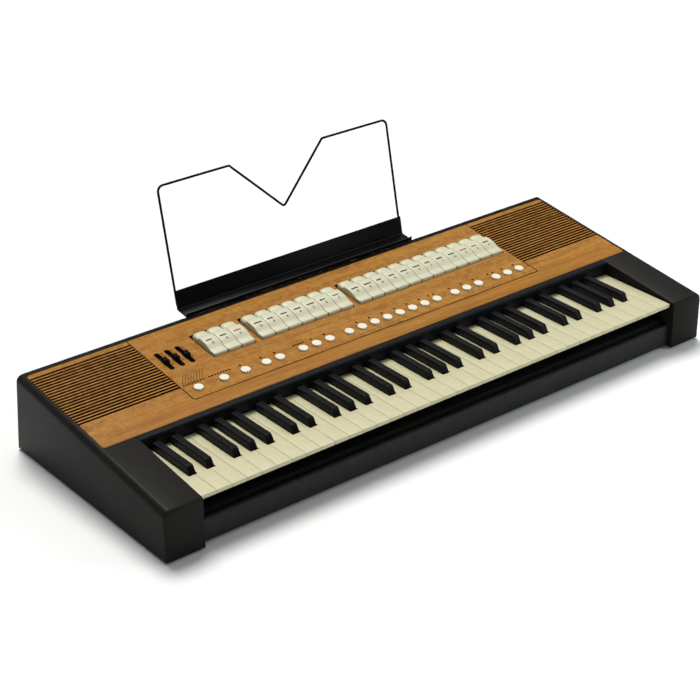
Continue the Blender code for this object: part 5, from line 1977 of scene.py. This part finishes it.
@dataclass
class Screws:
    """Pan-head screws with a cross recess in the bottom, rear and socket plate."""

    radius: float = 0.0032
    height: float = 0.0014
    recess_half: tuple[float, float] = (0.001984, 0.0004)
    bottom_x: tuple[float, ...] = (-0.34, -0.17, 0.0, 0.17, 0.34)
    bottom_y: tuple[float, ...] = (-0.178, 0.150)
    bottom_z: float = 0.0028
    rear_x: tuple[float, ...] = (-0.44, -0.28, 0.0, 0.28, 0.44)
    rear_h: float = -0.020
    plate_x: tuple[float, ...] = (0.1765, 0.3835)
    plate_y: tuple[float, ...] = (-0.0145, 0.0145)
    lift: float = 0.0001

    def head(self) -> bmesh.types.BMesh:
        """One screw head, standing on z = 0.

        Returns:
            The mesh.
        """
        r, h, (reach, half) = self.radius, self.height, self.recess_half
        profile = [(0.0, h), (r * 0.5, h * 0.96), (r * 0.8, h * 0.74), (r * 0.96, h * 0.4), (r, self.lift),
                   (0.0, self.lift)]
        arms = [block((-x, -y, h * 0.35), (x, y, h * 2)) for x, y in ((reach, half), (half, reach))]
        return carved(turned(profile, 28), *arms)

    def build(self) -> None:
        """Put the heads in place."""
        head = self.head()
        down, out = (Matrix.Rotation(turn, 4, "X") for turn in (math.pi, -math.pi / 2))
        facing = ConnectorPlate().facing
        rear_s = CASE_REAR_S + self.lift
        rows: dict[str, list[Matrix]] = {
            "bottom_screws": [shift(x, y, self.bottom_z) @ down for x in self.bottom_x
                              for y in self.bottom_y],
            "rear_screws": [PANEL @ shift(x, rear_s, self.rear_h) @ out for x in self.rear_x],
            "plate_screws": [PANEL @ facing(x) @ shift(0, y, self.lift) for x in self.plate_x
                             for y in self.plate_y],
        }
        for name, spots in rows.items():
            place(joined(moved(head.copy(), spot) for spot in spots), name, "case", COATED_STEEL, angle=40)
        head.free()


@dataclass
class Studio:
    """Pale floor, soft light and the camera."""

    camera_spot: Point = (-1.5020, -1.8612, 1.3111)
    yaw: float = math.radians(38.38)
    pitch: float = math.radians(27.66)
    roll: float = math.radians(-0.51)
    lens: float = 95.95
    aim: Point = (0.0, 0.0, 0.05)
    low_light: float = 0.17
    high_light: float = 0.65
    light_from: Point = (0.350, 0.350, 0.870)
    panel_light: float = 2.75
    panel_angle: float = math.radians(27)
    panel_from: Point = (0.160, 0.375, 0.913)
    floor_half: float = 12.0
    floor_z: float = -0.0002
    floor_glow: float = 0.01
    floor_colour: Colour = (0.91, 0.91, 0.91)
    lamps: tuple[tuple[str, Point, float, float, Colour], ...] = (
        ("edge_light", (1.3, -1.5, 1.25), 0.7, 5.0, (0.82, 0.93, 1.0)),
        ("side_light", (1.05, -1.05, 0.40), 0.5, 2.0, (0.90, 0.96, 1.0)))

    def camera(self) -> None:
        """A camera at the photograph's place."""
        level_part = math.cos(self.pitch)
        forward = Vector((math.sin(self.yaw) * level_part, math.cos(self.yaw) * level_part,
                          -math.sin(self.pitch)))
        right = Vector((math.cos(self.yaw), -math.sin(self.yaw), 0))
        up = right.cross(forward)
        across = right * math.cos(self.roll) + up * math.sin(self.roll)
        above = up * math.cos(self.roll) - right * math.sin(self.roll)
        camera = new_object("camera", bpy.data.cameras.new("camera"))
        turn = Matrix((across, above, -forward)).transposed().to_4x4()
        camera.matrix_world = shift(*self.camera_spot) @ turn
        camera.data.sensor_width = 36.0
        camera.data.lens = self.lens
        camera.data.clip_start = 0.05
        camera.data.clip_end = 60.0
        bpy.context.scene.camera = camera

    def lamp(self, name: str, spot: Point, size: float, power: float, colour: Colour) -> None:
        """A square soft light that points at the keyboard.

        Args:
            name: The light's name.
            spot: Where it is.
            size: Its width.
            power: Its power in watts.
            colour: Its colour.
        """
        light = bpy.data.lights.new(name, "AREA")
        light.size, light.energy, light.color = size, power, colour
        holder = new_object(name, light)
        holder.location = spot
        holder.rotation_euler = (Vector(self.aim) - Vector(spot)).to_track_quat("-Z", "Y").to_euler()

    def sky_panel(self) -> None:
        """A large even light from above and behind, whose shadow falls to the front left."""
        light = bpy.data.lights.new("sky_panel", "SUN")
        light.energy, light.angle, light.color = self.panel_light, self.panel_angle, (1.0, 0.99, 0.975)
        turn = Vector(self.panel_from).to_track_quat("Z", "Y")
        new_object("sky_panel", light).rotation_euler = turn.to_euler()

    def world(self) -> None:
        """Dim light from all round and a broad glow behind, seen as plain white by the camera."""
        world = bpy.data.worlds.new("studio")
        world.use_nodes = True
        bpy.context.scene.world = world
        graph = Graph(world.node_tree)
        background = world.node_tree.nodes["Background"]
        towards = graph.add("VectorMath", {0: graph.add("TexCoord").outputs["Generated"], 1: self.light_from},
                            operation="DOT_PRODUCT").outputs["Value"]
        strength = graph.ramp(towards, 0.55, 1.0, self.low_light, self.high_light)
        seen = graph.add("LightPath").outputs["Is Camera Ray"]
        kept = graph.math("MULTIPLY", strength, graph.math("SUBTRACT", 1.0, seen))
        graph.tree.links.new(graph.math("ADD", kept, seen), background.inputs["Strength"])
        background.inputs["Color"].default_value = (1.0, 1.0, 1.0, 1.0)

    def floor(self) -> None:
        """A wide floor whose unshadowed part is seen as white."""
        bm = bmesh.new()
        bmesh.ops.create_grid(bm, x_segments=8, y_segments=8, size=self.floor_half)
        floor = bare_object(bm, "floor", shift(0, 0, self.floor_z))
        paper = bpy.data.materials.new("pale_floor")
        paper.use_nodes = True
        graph, shader = Graph(paper.node_tree), paper.node_tree.nodes["Principled BSDF"]
        mottle = graph.noise(graph.add("TexCoord").outputs["Object"], 3.0)
        colour = graph.mix(mottle, self.floor_colour, tuple(value * 0.985 for value in self.floor_colour))
        seen = graph.add("LightPath").outputs["Is Camera Ray"]
        glow = graph.math("MULTIPLY", seen, self.floor_glow)
        for name, socket in (("Base Color", colour), ("Emission Strength", glow)):
            graph.tree.links.new(socket, shader.inputs[name])
        set_values(shader, Roughness=0.9, Specular_IOR_Level=0.1, Emission_Color=(1.0, 1.0, 1.0, 1.0))
        floor.data.materials.append(paper)

    def build(self) -> None:
        """Make the studio."""
        self.camera()
        self.world()
        self.floor()
        self.sky_panel()
        for lamp in self.lamps:
            self.lamp(*lamp)
        bpy.context.scene.view_settings.view_transform = "Standard"


def main() -> None:
    """Build every sub-assembly in order."""
    logging.basicConfig(level=logging.INFO, format="%(message)s")
    for old in list(bpy.data.objects):
        bpy.data.objects.remove(old, do_unlink=True)
    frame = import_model()
    Studio().build()
    Case().build(frame)
    for assembly in (WoodTop, Keyboard, StopTabs, PushButtons, Faders, MusicRest, ConnectorPlate):
        assembly().build()
    for name, side in (("speaker_left", -1), ("speaker_right", 1)):
        Speaker().build(name, side)
    Screws().build()


if __name__ == "__main__":
    main()
